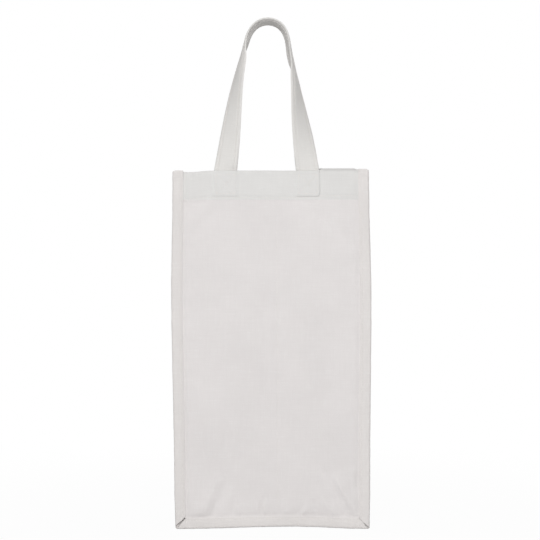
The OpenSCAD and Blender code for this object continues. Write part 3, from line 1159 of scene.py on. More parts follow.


# Loose plain-weave cotton canvas, washed off-white: threads about 0.8 mm apart show as a
# faint square grain. They are drawn 1.2 mm apart, or they would be too fine to show. The
# hem, where two layers lie together, is painted a little cooler as painted shade.
CANVAS = WovenFinish("plain_weave_canvas", "#e5e1e0", "#dedad9", "#e7e4e3", 1.2 * MM, 0.10 * MM,
                     painted_hem_shade="#fbfefd")
# Cotton binding tape, denser and a little greyer than the canvas, with fine cross ribs
TAPE = WovenFinish("ribbed_cotton_tape", "#e4e0de", "#dcd8d6", "#e7e4e2", 1.1 * MM, 0.09 * MM, rib=0.7)
# Strap folded from canvas: the same cloth, pressed flat, so its grain is closer
STRAP = WovenFinish("folded_canvas_strap", "#e3e1de", "#dbd9d6", "#e6e4e1", 1.1 * MM, 0.09 * MM)
# Cotton sewing thread, a little lighter than the cloth, with a fine grain for its twist
THREAD = WovenFinish("twisted_cotton_thread", "#e8e4e2", "#d6d2ce", "#ebe8e6", 0.8 * MM, 0.08 * MM, sheen=0.2)


@dataclass
class BagWorks:
    """What every sub-assembly needs: the sizes, the drape and the four finishes."""

    sizes: BagSizes
    drape: Drape
    finishes: dict[str, bpy.types.Material] = field(default_factory=dict)

    def __post_init__(self) -> None:
        """Makes the four materials once, by the record's slot that each stands for."""
        made = {"canvas": CANVAS, "tape": TAPE, "strap": STRAP, "thread": THREAD}
        self.finishes = {slot: finish.made(self.sizes.hem_low) for slot, finish in made.items()}

    def add_draped(self, mesh: ClothMesh, middle: Array, flat: Array, thin: float = 0.0) -> None:
        """Thickens a sheet of the flat pattern, drapes both of its faces and adds it.

        Args:
            mesh: The mesh that gets it.
            middle: Grid of points on the middle of the sheet.
            flat: Grid of places on the flat cloth.
            thin: How much thinner than one layer of cloth the sheet is.
        """
        faces = thickened(middle, self.sizes.sheet_t - thin)
        outer, inner = (self.drape.moved(face) for face in faces)
        mesh.add_sheet(outer, inner, flat)

    def place(
        self, mesh: ClothMesh, name: str, slot: str, nodes: Sequence[str], loop: str | None = None
    ) -> bpy.types.Object:
        """Makes a piece with the finish of its slot, hides the nodes that it stands for, and lets it ride.

        Args:
            mesh: What the piece is made of.
            name: The piece's name.
            slot: The record's material slot.
            nodes: The frame's nodes that the piece stands for.
            loop: The handle's loop that the piece goes with instead of the bag's body, or None.

        Returns:
            The finished piece.
        """
        made = mesh.made(name, self.finishes[slot])
        if nodes:
            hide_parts(*nodes)
        if loop is None:
            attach(made, "bag")
        log.info("%s: %d faces, %s", name, len(made.data.polygons), slot)
        return made


@dataclass
class Panels:
    """The front and the back, each with the edge of its mouth folded in as a hem."""

    works: BagWorks
    # How far the side edges lie in from the edges of the fins
    edge_in: float = 2 * MM
    # How much of each bottom corner is cut off slantwise, to thin the mitre
    trim: float = 20.8 * MM
    # Spacing of the columns, and of the rows below the hem and within it
    step_x: float = 1.3 * MM
    steps: Pair = mm(2.6, 1.1)
    # Closer columns over the tuck in the rim: how far, in its half widths, and how many
    tuck_reach: float = 2.5
    tuck_columns: int = 11

    def build(self) -> None:
        """Builds both panels as sheets that stand up and fold over at the mouth."""
        s, drape = self.works.sizes, self.works.drape
        run = HemRun.laid(s, s.tape_t, s.mouth, s.mouth - s.hem_low, self.steps)
        wide = s.half_w - self.edge_in
        narrow = s.wall_x - 2 * s.cloth_t
        half = np.minimum(wide + (narrow - wide) * run.inside, s.half_w - self.trim + run.height)
        even = np.linspace(-1, 1, 2 * round(wide / self.step_x) + 1)
        closer = np.linspace(-self.tuck_reach, self.tuck_reach, self.tuck_columns)
        x = half * np.union1d(even, (drape.tuck_x + drape.tuck_w * closer) / wide)
        for side in Side:
            middle = joined(x, side.value * (s.panel_y - s.sheet_t / 2 - run.inset), run.height)
            mesh = ClothMesh()
            self.works.add_draped(mesh, middle, joined(x, run.length))
            self.works.place(mesh, f"{side.word}_panel_cloth", "canvas", [f"{side.word}_panel"])


@dataclass
class Gussets:
    """The two narrow sides, each creased down its middle, with flanges in the fins."""

    works: BagWorks
    # How far the crease stands in at the mouth, where it starts, the power by which it
    # deepens, and how blunt its tip is
    crease: float = 5 * MM
    crease_from: float = 45 * MM
    deepening: float = 0.9
    tip: float = 0.14
    # Gap between the wall's edges and the seams, and how much more the hem stands back
    edge_gap: float = 0.1 * MM
    hem_back: float = 1.3 * MM
    # Columns of the wall, and spacing of its rows below the hem and within it
    columns: int = 57
    steps: Pair = mm(3.5, 1.4)
    # How far the flanges reach into the wall and end short of the fin's edge, how far
    # their slanting foot lies above the mitre, and how they are divided
    flange_lap: float = 0.6 * MM
    flange_short: float = 2 * MM
    flange_foot: float = 3 * MM
    flange_step: float = 1.5 * MM
    flange_rows: int = 116

    def crease_in(self, y: Array, z: Array) -> Array:
        """How far the wall stands in: a soft V across it that deepens with the height.

        Args:
            y: Places across the gusset.
            z: Heights.

        Returns:
            The inward move at each point.
        """
        s = self.works.sizes
        part = np.clip(np.abs(y) / s.seam_y, 0, 1)
        whole = math.sqrt(1 + self.tip**2) - self.tip
        vee = 1 - (np.sqrt(part**2 + self.tip**2) - self.tip) / whole
        up = np.clip((z - self.crease_from) / (s.mouth - self.crease_from), 0, 1)
        return self.crease * vee * up**self.deepening

    def build(self) -> None:
        """Builds each gusset as a hemmed wall and two flanges tucked into the fins."""
        s = self.works.sizes
        run = HemRun.laid(s, s.fin_w, s.mouth, s.mouth - s.hem_low, self.steps)
        half = s.seam_y - self.edge_gap - self.hem_back * run.inside
        y = half * np.linspace(-1, 1, self.columns)
        off = s.wall_x - s.sheet_t / 2 - run.inset - self.crease_in(y, run.height)
        for hand in Hand:
            mesh = ClothMesh()
            self.works.add_draped(mesh, joined(hand.value * off, y, run.height), joined(y, run.length))
            for side in Side:
                self.add_flange(mesh, hand, side)
            self.works.place(mesh, f"{hand.word}_gusset_cloth", "canvas", [f"{hand.word}_gusset"])

    def add_flange(self, mesh: ClothMesh, hand: Hand, side: Side) -> None:
        """Adds the flange along one edge, from the wall out into the fin.

        Args:
            mesh: The gusset's mesh.
            hand: Which gusset.
            side: Which edge of it.
        """
        s = self.works.sizes
        out = graded((s.wall_x - self.flange_lap, s.half_w - self.flange_short), (self.flange_step,))
        foot = np.maximum(s.fin_w, s.half_w - out + self.flange_foot)
        z = foot + np.linspace(0, 1, self.flange_rows)[:, None] * (s.mouth - foot)
        x = hand.value * out
        middle = joined(x, side.value * s.flange_y, z)
        self.works.add_draped(mesh, middle, joined(x, z), 2 * s.air)


@dataclass
class Base:
    """The floor of the bag, with flanges turned down into the fins and up at its ends."""

    works: BagWorks
    # Radius at which the flanges turn down, and rows of that turn
    corner: float = 1.2 * MM
    corner_rows: int = 6
    # Gap between the floor's ends and the gussets, and how much narrower than the floor
    # the flanges are at most
    end_gap: float = 0.1 * MM
    flange_in: float = 1.4 * MM
    # How far the flanges end above the tape's fold and short of the fins' edges, and by
    # how much their slanting ends clear the mitre
    flange_low: float = 1 * MM
    flange_short: float = 2 * MM
    slant: float = 3 * MM
    # Columns, and spacing of the rows down the flanges and over the floor
    columns: int = 81
    steps: Pair = mm(1.8, 2.6)
    # Height of the ends turned up, their radius, and how far they stop before the seams
    turn_up: float = 8 * MM
    up_radius: float = 1 * MM
    up_short: float = 2 * MM
    up_columns: int = 41
    up_rows: int = 5
    up_step: float = 1.6 * MM

    @property
    def end_x(self) -> float:
        """Distance of the floor's ends from the middle."""
        return self.works.sizes.wall_x - self.works.sizes.cloth_t - self.end_gap

    @property
    def top(self) -> float:
        """Height of the middle of the floor's cloth."""
        return self.works.sizes.fin_w + self.works.sizes.sheet_t / 2

    def build(self) -> None:
        """Builds the base as one sheet that turns down at the front and back."""
        s = self.works.sizes
        inside_y, low = s.flange_y - self.corner, self.top - self.corner
        down = graded((s.tape_t + self.flange_low, low), self.steps[:1])[:-1]
        over = graded((-inside_y, inside_y), self.steps[1:])[1:-1]
        turn = np.linspace(0, math.pi / 2, self.corner_rows)
        bend_y, bend_z = inside_y + self.corner * np.cos(turn), low + self.corner * np.sin(turn)
        y = np.concatenate([0 * down - s.flange_y, -bend_y, over, bend_y[::-1], 0 * down + s.flange_y])
        z = np.concatenate([down, bend_z, 0 * over + self.top, bend_z[::-1], down[::-1]])
        slanting = np.maximum(s.half_w - self.slant - z, self.end_x - self.flange_in)
        half = np.minimum(np.where(z < low, slanting, self.end_x), s.half_w - self.flange_short)
        x = half[:, None] * np.linspace(-1, 1, self.columns)
        mesh = ClothMesh()
        flat = joined(x, run_length(y, z)[:, None])
        self.works.add_draped(mesh, joined(x, y[:, None], z[:, None]), flat)
        for hand in Hand:
            self.add_turn_up(mesh, hand)
        self.works.place(mesh, "base_cloth", "canvas", ["base_panel"])

    def add_turn_up(self, mesh: ClothMesh, hand: Hand) -> None:
        """Adds the allowance turned up against the foot of a gusset.

        Args:
            mesh: The base's mesh.
            hand: Which end.
        """
        s = self.works.sizes
        y = np.linspace(-1, 1, self.up_columns) * (s.seam_y - self.up_short)
        turn = np.linspace(0, math.pi / 2, self.up_rows)
        x = self.end_x - s.sheet_t / 2 - self.up_radius + self.up_radius * np.sin(turn)
        z = self.top + s.sheet_t + self.up_radius - self.up_radius * np.cos(turn)
        upper = graded((z[-1], self.top + self.turn_up), (self.up_step,))[1:]
        x = np.concatenate([x, x[-1] + 0 * upper])[:, None]
        z = np.concatenate([z, upper])[:, None]
        self.works.add_draped(mesh, joined(hand.value * x, y, z), joined(y, z))


@dataclass
class Divider:
    """The wall between the bottles, sewn to both panels, with a hem along its top."""

    works: BagWorks
    hem: float = 15 * MM
    # Gap between the wall's edges and the seams, and how much more the hem stands back
    edge_gap: float = 0.2 * MM
    hem_back: float = 1.2 * MM
    # Columns of the wall, and spacing of its rows and of the flanges' rows and columns
    columns: int = 51
    steps: Pair = mm(3.5, 1.6)
    # Where the flanges start, beside the wall
    flange_from: float = 0.7 * MM

    def build(self) -> None:
        """Builds the wall with its hem and the flange along each panel."""
        s = self.works.sizes
        run = HemRun.laid(s, s.divider_low, s.divider_high, self.hem, self.steps)
        half = s.seam_y - self.edge_gap - self.hem_back * run.inside
        y = half * np.linspace(-1, 1, self.columns)
        mesh = ClothMesh()
        self.works.add_draped(mesh, joined(run.inset, y, run.height), joined(y, run.length))
        x = graded((self.flange_from, s.divider_edge), self.steps[1:])
        z = graded((s.divider_low, s.divider_high - self.hem), self.steps[:1])[:, None]
        for side in Side:
            self.works.add_draped(mesh, joined(x, side.value * s.flange_y, z), joined(x, z))
        self.works.place(mesh, "divider_cloth", "canvas", ["divider"])


@dataclass(frozen=True)
class Section:
    """A tape's section: the middle line of its wrap round a fin, by column.

    Off is the distance from the fin's outer edge, depth the one from its outer face, and
    swell how far the tape pillows.
    """

    off: Array
    depth: Array
    swell: Array


@dataclass
class Bindings:
    """The six tapes that wrap the fins, mitred where they meet at the bottom corners."""

    works: BagWorks
    # Half of the gap of a mitre at the fin's corner, how much less it is further in, and
    # over which distances from the fin's edge it closes
    slit: float = 1.1 * MM
    closing: float = 0.9 * MM
    closing_band: Pair = mm(2.5, 6.5)
    # Share of the gap that is missing on the inner leg, and the shares of the fin's
    # thickness between which that comes
    tighter: float = 0.95
    tighter_band: Pair = (0.3, 0.7)
    # How much further the mitre at the front's left has pulled open
    pulled: float = 1.9 * MM
    # The pillow between the row of stitches and the fin's edge, the power of its sine,
    # and the dip along the row
    pillow: float = 0.28 * MM
    fullness: float = 0.7
    row_dip: Ridge = Ridge(*mm(0.22, 0, 0.8))
    # How much narrower the inner leg is than the outer one
    inner_less: float = 0.2 * MM
    # How much lower a tape's top end is at the fin's outer edge, and how far in that goes
    rounding: float = 1.3 * MM
    rounding_in: float = 3 * MM
    # How much thicker the tape is where its end is turned under, and the heights, counted
    # from its top, over which that comes and goes
    under: float = 0.45 * MM
    under_from: Pair = mm(-8, -6.5)
    under_to: Pair = mm(-0.9, 0.5)
    # The rows of stitches gather the tape a little
    gather: Uneven = Uneven(0.14 * MM, mm(6, 14), 200)
    # Spacing of the rows, spacing of the columns on the legs, and columns of the turn
    step: float = 2.6 * MM
    leg_step: float = 0.9 * MM
    turn_columns: int = 11
    # Shares of a tape's length between which its rows are even, and their spacing beyond
    side_even: Pair = (0.06, 0.95)
    side_ends: Pair = (0.004, 0.003)
    base_even: Pair = (0.09, 0.91)
    base_ends: Pair = (0.006, 0.006)

    def section(self) -> Section:
        """The section: a straight leg, a half circle round the fin's edge, and a leg back.

        Returns:
            The section, from the outer leg's edge to the inner one's.
        """
        s = self.works.sizes
        half = s.tape_t / 2
        bend = (s.fin_t - s.tape_t) / 2
        leg = graded((s.tape_w, bend + half), (self.leg_step,))
        turn = np.linspace(0, math.pi, self.turn_columns)[1:-1]
        off = np.concatenate([leg, bend + half - bend * np.sin(turn), leg[::-1]])
        off[-1] -= self.inner_less
        middle = s.fin_t / 2 - bend * np.cos(turn)
        depth = np.concatenate([half + 0 * leg, middle, s.fin_t - half + 0 * leg])
        row = s.tape_w - s.row_in
        swell = np.sin(math.pi * np.clip(off / row, 0, 1)) ** self.fullness * self.pillow
        return Section(off, depth, swell - self.row_dip.at(off - row))

    def outside(self, depth: Array) -> Array:
        """Share of a mitre's gap by depth: all of it outside, and hardly any on the inner leg."""
        low, high = (share * self.works.sizes.fin_t for share in self.tighter_band)
        return 1 - self.tighter * rise(depth, low, high)

    def apart(self, cut: Section) -> Array:
        """How far each column of a tape's end stands back from a mitre."""
        return (self.slit - self.closing * rise(cut.off, *self.closing_band)) * self.outside(cut.depth)

    def build(self) -> None:
        """Builds the three tapes of each face."""
        for side in Side:
            for hand in Hand:
                self.side_tape(side, hand)
            self.base_tape(side)

    def wrapped(self, side: Side, cut: Section, run: Array) -> list[tuple[Array, Array]]:
        """The two faces of a tape in its own directions.

        Args:
            side: The face that the tape frames.
            cut: The tape's section.
            run: Place along the fin, by row and column.

        Returns:
            For the outer and then the inner face, the distance from the fin's edge and
            the depth.
        """
        half = self.works.sizes.tape_t / 2
        step_off, step_depth = np.gradient(cut.off), np.gradient(cut.depth)
        size = np.hypot(step_off, step_depth)
        # Square to the line, away from the fin inside the wrap
        out_off, out_depth = -step_depth / size, step_off / size
        gather = self.gather.at(run, cut.off, side.value)
        lift = half + cut.swell + gather * (cut.swell > 0)
        outer = (cut.off + out_off * lift, cut.depth + out_depth * lift)
        return [outer, (cut.off - out_off * half, cut.depth - out_depth * half)]

    def side_tape(self, side: Side, hand: Hand) -> None:
        """Builds the tape down one side, with its top end turned under.

        Args:
            side: The face that it frames.
            hand: The end of the bag that it runs down.
        """
        s = self.works.sizes
        cut = self.section()
        ends = self.side_ends
        along = graded((0, *self.side_even, 1), (ends[0], self.step / s.mouth, ends[1]))
        opened = self.pulled if (side, hand) == (Side.FRONT, Hand.LEFT) else 0.0
        foot = cut.off + self.apart(cut) + opened * self.outside(cut.depth)
        top = s.tape_top - self.rounding * (1 - rise(cut.off, 0, self.rounding_in))
        z = foot + along[:, None] * (top - foot)
        outer, inner = self.wrapped(side, cut, z)
        over = z - s.tape_top
        under = self.under * rise(over, *self.under_from) * (1 - rise(over, *self.under_to))
        outer = (outer[0], outer[1] + under * np.sign(outer[1] - s.fin_t / 2))
        grids = [
            joined(hand.value * (s.half_w - off), side.value * (s.half_d - depth), z)
            for off, depth in (outer, inner)
        ]
        self.finish(grids, cut, z, f"{side.word}_{hand.word}")

    def base_tape(self, side: Side) -> None:
        """Builds the tape along the bottom of one face.

        Args:
            side: The face that it frames.
        """
        s = self.works.sizes
        cut = self.section()
        ends = self.base_ends
        along = graded((0, *self.base_even, 1), (ends[0], self.step / (2 * s.half_w), ends[1]))
        start = cut.off + self.apart(cut) - s.half_w
        x = start + along[:, None] * (-2 * start)
        faces = self.wrapped(side, cut, x)
        grids = [joined(x, side.value * (s.half_d - depth), off) for off, depth in faces]
        self.finish(grids, cut, x, f"{side.word}_base")

    def finish(self, grids: Sequence[Array], cut: Section, run: Array, name: str) -> None:
        """Drapes a tape's two faces and places it.

        Args:
            grids: The outer and the inner face.
            cut: The tape's section.
            run: Place along the fin, by row and column.
            name: What the names of the tape and of its node begin with.
        """
        mesh = ClothMesh()
        outer, inner = (self.works.drape.moved(grid) for grid in grids)
        mesh.add_sheet(outer, inner, joined(run_length(cut.off, cut.depth), run))
        self.works.place(mesh, f"{name}_tape", "tape", [f"{name}_binding"])


@dataclass
class Handles:
    """The two straps, each sewn inside a hem and turning edge-on into an arch.

    Along the legs the half distance between them shrinks evenly with the height h. Over
    the arch it is also multiplied by the cosine of an angle a, while h grows with a
    power of its sine. The front loop stands up, and the back one hangs over the hem.
    """

    works: BagWorks
    leg_h: float = 96 * MM
    taper: float = 0.139
    # How far each leg is pinched in under the arch, at which height and how far round it
    pinch: float = 2.8 * MM
    pinch_h: float = 118 * MM
    pinch_reach: float = 22 * MM
    # Power of the sine over the arch: under a half makes its top flatter
    flatness: float = 0.38
    # How far the legs lean to the left, over which height, and how far the arch leans back
    lean: float = 0.8 * MM
    lean_h: float = 60 * MM
    sway: float = 1.7 * MM
    # Points of the arch and of a leg, before they are evenly spaced, and that spacing
    points: tuple[int, int] = (241, 60)
    step: float = 2.2 * MM
    # Gap between the strap and the line that it swings about, and degrees by which the
    # back loop hangs short of straight down
    hinge_gap: float = 1.5 * MM
    hang_off: float = 14.0
    # For the left and the right leg: the height where it stands edge-on, the degrees
    # that it has turned just over the hem, and those that each metre of height adds
    edge_on: Pair = mm(121, 103)
    early_turn: Pair = (11.0, 3.5)
    turn_rate: Pair = (575.0, 766.0)
    # Heights over which the early turn comes, and the quicker one to each side of edge-on
    early_h: float = 3.5 * MM
    quick_h: float = 14 * MM
    # Half of the stretch under the top of the arch where left passes over into right
    middle_half: float = 10 * MM
    # The strap turns a little past edge-on, so that its inside shows at the arch
    full_turn: float = 98.0
    # The rows along the edges: how far in they lie, how deep, and their half width as a
    # share of the strap's
    edge_row_in: float = 3.6 * MM
    row_sink: float = 0.30 * MM
    row_width: float = 0.07
    # How far the middle of a stitch stands over the bottom of its row
    proud: float = 0.12 * MM
    # Half of the strap's thickness at its pressed edges, and the powers of its section
    edge_half: float = 0.3 * MM
    powers: Pair = (5, 0.65)
    # Columns across the strap, and the share of their spacing that bunches at its edges
    columns: int = 33
    bunched: float = 0.35
    dish: float = 0.5 * MM
    # Where it stands edge-on the strap curls more
    curl: float = 2.6 * MM
    curl_reach: float = 24 * MM
    # Over the arch its edges turn up instead, from the lower to the upper height
    cupped: float = 0.7 * MM
    arch_from: Pair = mm(118, 142)
    # Over these heights the front and the back strap start to turn
    flat_run: Pair = mm(4, 34)
    # Rows to each side over which the strap's changes are evened out
    ease: int = 9
    # Rows of the loop over which it comes to stand upright on the hem, rows of a sewn
    # end, and rows of the back strap's bend over the hem
    upright_rows: int = 4
    end_rows: int = 14
    bend_rows: int = 13
    # How far a sewn end is pressed in under the hem's edge, and over which height
    pressed: float = 0.3 * MM
    pressed_h: float = 6 * MM
    # Height over which a loop leaves the draped hem. Up to there it moves as the hem does
    # this far inside the seam
    free_h: float = 40 * MM
    seat_in: float = 2 * MM
    # Heights over the mouth for the front strap, and distances behind the seam for the back one
    front_bend: Pair = mm(-2, 6.5)
    back_bend: Pair = mm(0.65, 2.8)
    # Half of the stretch along which a stitch on the strap takes its direction
    aim: float = 0.8 * MM

    def half_width(self, h: Array) -> Array:
        """Half the distance between the legs at heights, if the arch didn't close them."""
        pinch = self.pinch * hump(h, self.pinch_h, self.pinch_reach)
        return self.works.sizes.strap_half - self.taper * h - pinch

    def line(self) -> tuple[Array, Array]:
        """The loop's middle line from hem to hem, evenly spaced.

        Returns:
            Places across the loop and heights above the hem.
        """
        s = self.works.sizes
        angle = np.linspace(0, math.pi, self.points[0])
        h = self.leg_h + (s.loop_h - self.leg_h) * np.clip(np.sin(angle), 0, 1) ** self.flatness
        arch = -self.half_width(h) * np.cos(angle)
        leg = np.linspace(0, self.leg_h, self.points[1])[:-1]
        across = self.half_width(leg)
        x = np.concatenate([-across, arch, across[::-1]])
        h = np.concatenate([leg, h, leg[::-1]])
        length = run_length(x, h)
        even = np.linspace(0, length[-1], round(length[-1] / self.step) + 1)
        x, h = np.interp(even, length, x), np.interp(even, length, h)
        sway = self.sway * rise(h, self.leg_h, s.loop_h)
        return x - self.lean * rise(h, 0, self.lean_h) + sway, h

    def by_leg(self, x: Array, *pairs: Pair) -> list[Array]:
        """Numbers given for the left and the right leg, at places across the loop."""
        right = rise(x, -self.middle_half, self.middle_half)
        return [a * (1 - right) + b * right for a, b in pairs]

    def turn(self, x: Array, h: Array) -> Array:
        """How far the strap has turned, in radians.

        It turns a little at once over the hem, then evenly with the height, and faster
        where it comes to stand edge-on.

        Args:
            x: Places across the loop.
            h: Heights above the hem.

        Returns:
            The turn at each point.
        """
        early, rate, edge = self.by_leg(x, self.early_turn, self.turn_rate, self.edge_on)
        turned = early * (1 - np.exp(-np.maximum(h, 0) / self.early_h)) + rate * h
        left_over = 2 * (90 - early - rate * edge)
        turned = turned + left_over * rise(h, edge - self.quick_h, edge + self.quick_h)
        over = np.maximum(turned - 90, 0)
        room = self.full_turn - 90
        return np.radians(np.where(turned > 90, 90 + room * (1 - np.exp(-over / room)), turned))

    def dished(self, rows: dict[str, Array]) -> Array:
        """How far the strap's middle stands out of the plane through its two edges.

        Args:
            rows: What varies along the strap.

        Returns:
            The distance at each row.
        """
        edge = self.by_leg(rows["x"], self.edge_on)[0]
        arch = rise(rows["h"], *self.arch_from)
        legs = self.dish * np.sin(rows["turn"]) + self.curl * hump(rows["h"], edge, self.curl_reach)
        return eased(legs * (1 - arch) - self.cupped * arch, self.ease)

    def rows(self, side: Side) -> dict[str, Array]:
        """Everything that varies along a strap, from its left sewn end to its right one.

        Args:
            side: The face that the handle belongs to.

        Returns:
            By name: place across, height above the hem, turn, swing about the hinge,
            and the direction of the middle line.
        """
        s = self.works.sizes
        x, h = self.line()
        d = np.gradient(joined(x, h), axis=0)
        d[0], d[-1] = (0, 1), (0, -1)
        upright = np.linspace(0, 1, self.upright_rows)
        d[: self.upright_rows, 0] *= upright
        d[-self.upright_rows :, 0] *= upright[::-1]
        d = unit(d)
        turn = eased(self.turn(x, h), self.ease // 2) * rise(h, 0, self.flat_run[side is Side.BACK])
        swing = np.radians(0.0 if side is Side.FRONT else 180 - self.hang_off)
        low = np.linspace(s.strap_low - s.mouth, 0, self.end_rows)[:-1]
        bend = np.linspace(0, swing, self.bend_rows)[1:-1] if swing else np.zeros(0)
        none = np.zeros(len(low) + len(bend))
        loop = {"x": x, "h": h, "turn": turn, "tx": d[:, 0], "tz": d[:, 1], "swing": 0 * x + swing}
        head = {
            "x": none + x[0],
            "h": np.concatenate([low, 0 * bend]),
            "turn": none,
            "tx": none,
            "tz": none + 1,
            "swing": np.concatenate([0 * low, bend]),
        }
        tail = {name: value[::-1] for name, value in head.items()}
        tail["x"], tail["tz"] = -tail["x"], -tail["tz"]
        return {name: np.concatenate([head[name], loop[name], tail[name]]) for name in loop}

    def set_up(self, side: Side, rows: dict[str, Array], across: Array, out: Array) -> Array:
        """Places points of a strap in the frame.

        Args:
            side: The face that the handle belongs to.
            rows: What varies along the strap.
            across: Distance from the strap's middle line, towards the inside of the loop.
            out: Distance from its middle surface, towards the bag's outside.

        Returns:
            The points, in an array shaped like across and out.
        """
        s = self.works.sizes
        deeper = (1,) * (across.ndim - 1)
        x, h, turn, tx, tz, swing = (
            rows[name].reshape(-1, *deeper) for name in ("x", "h", "turn", "tx", "tz", "swing")
        )
        # The strap's width points into the loop, and its thickness away from the bag
        wx, wy, wz = tz * np.cos(turn), -np.sin(turn), -tx * np.cos(turn)
        px = x + across * wx + out * tz * wy
        py = self.hinge_gap + s.strap_t / 2 + across * wy - out * (tz * wx - tx * wz)
        pz = h + across * wz - out * tx * wy
        py = py - self.pressed * rise(-h, 0, self.pressed_h)
        qy = py * np.cos(swing) - pz * np.sin(swing)
        qz = py * np.sin(swing) + pz * np.cos(swing)
        hinge_y = side.value * s.seam_y
        points = joined(px + s.strap_mid, hinge_y - side.value * qy, qz + s.mouth)
        # The sewn ends stay with the draped hem, and the loop leaves it over a short height
        seat = points.copy()
        above = np.broadcast_to((h > 0) | (swing > 0), seat.shape[:-1])
        seat[..., 1] = np.where(above, hinge_y - side.value * self.seat_in, seat[..., 1])
        seat[..., 2] = np.where(above, s.mouth, seat[..., 2])
        give = self.works.drape.moved(seat) - seat
        return points + give * (1 - rise(h, 0, self.free_h))[..., None]

    def build(self) -> None:
        """Builds both straps and the two rows of stitches along each."""
        half = self.works.sizes.strap_w / 2
        even = np.linspace(-1, 1, self.columns)
        part = self.bunched * np.sin(math.pi / 2 * even) + (1 - self.bunched) * even
        fullness = (1 - np.abs(part) ** self.powers[0]) ** self.powers[1]
        thick = (self.works.sizes.strap_t / 2 - self.edge_half) * fullness + self.edge_half
        row = 1 - self.edge_row_in / half
        skin = thick - self.row_sink * (hump(part, row, self.row_width) + hump(part, -row, self.row_width))
        for side in Side:
            rows = self.rows(side)
            dish = self.dished(rows)[:, None] * (1 - part**2)
            across = half * part + 0 * dish
            outer, inner, middle = (self.set_up(side, rows, across, dish + k) for k in (skin, -skin, 0))
            length = run_length(*middle[:, self.columns // 2].T)
            mesh = ClothMesh()
            mesh.add_sheet(outer, inner, joined(across, length[:, None]))
            nodes = [f"{side.word}_handle", f"{side.word}_handle_ends"]
            strap = self.works.place(mesh, f"{side.word}_strap", "strap", nodes, f"{side.word}_loop")
            self.bend_with(strap)
            self.stitch_edges(side, rows, half * row)

    def bend_with(self, piece: bpy.types.Object) -> None:
        """Bakes a piece's place in the frame into its mesh.

        Args:
            piece: The strap, or the stitches on it.
        """
        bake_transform(piece)

    def stitch_edges(self, side: Side, rows: dict[str, Array], off: float) -> None:
        """Sews the two rows along a strap, seen on both of its faces.

        Args:
            side: The face that the handle belongs to.
            rows: What varies along the strap.
            off: Distance of the rows from the strap's middle line.
        """
        s = self.works.sizes
        skin = s.strap_t / 2 - self.row_sink + self.proud
        dish = self.dished(rows) * (1 - (2 * off / s.strap_w) ** 2)
        mesh = ClothMesh()
        for across in (-off, off):
            for face in (-1, 1):
                line = self.set_up(side, rows, across + 0 * dish, dish + face * skin)
                lift = self.set_up(side, rows, across + 0 * dish, dish + face * (skin + MM))
                length = run_length(*line.T)
                count = round(length[-1] / Threads.pitch)
                at = (np.arange(count) + 0.5) / count * length[-1]
                middle, ahead, behind, up = (
                    np.stack([np.interp(place, length, part) for part in path.T], -1)
                    for place, path in (
                        (at, line), (at + self.aim, line), (at - self.aim, line), (at, lift - line)
                    )
                )
                run, up = unit(ahead - behind), unit(up)
                mesh.add_stitches(Threads(middle, run, np.cross(up, run), up), None)
        name = f"{side.word}_strap_edge_stitches"
        self.bend_with(self.works.place(mesh, name, "thread", [], f"{side.word}_loop"))


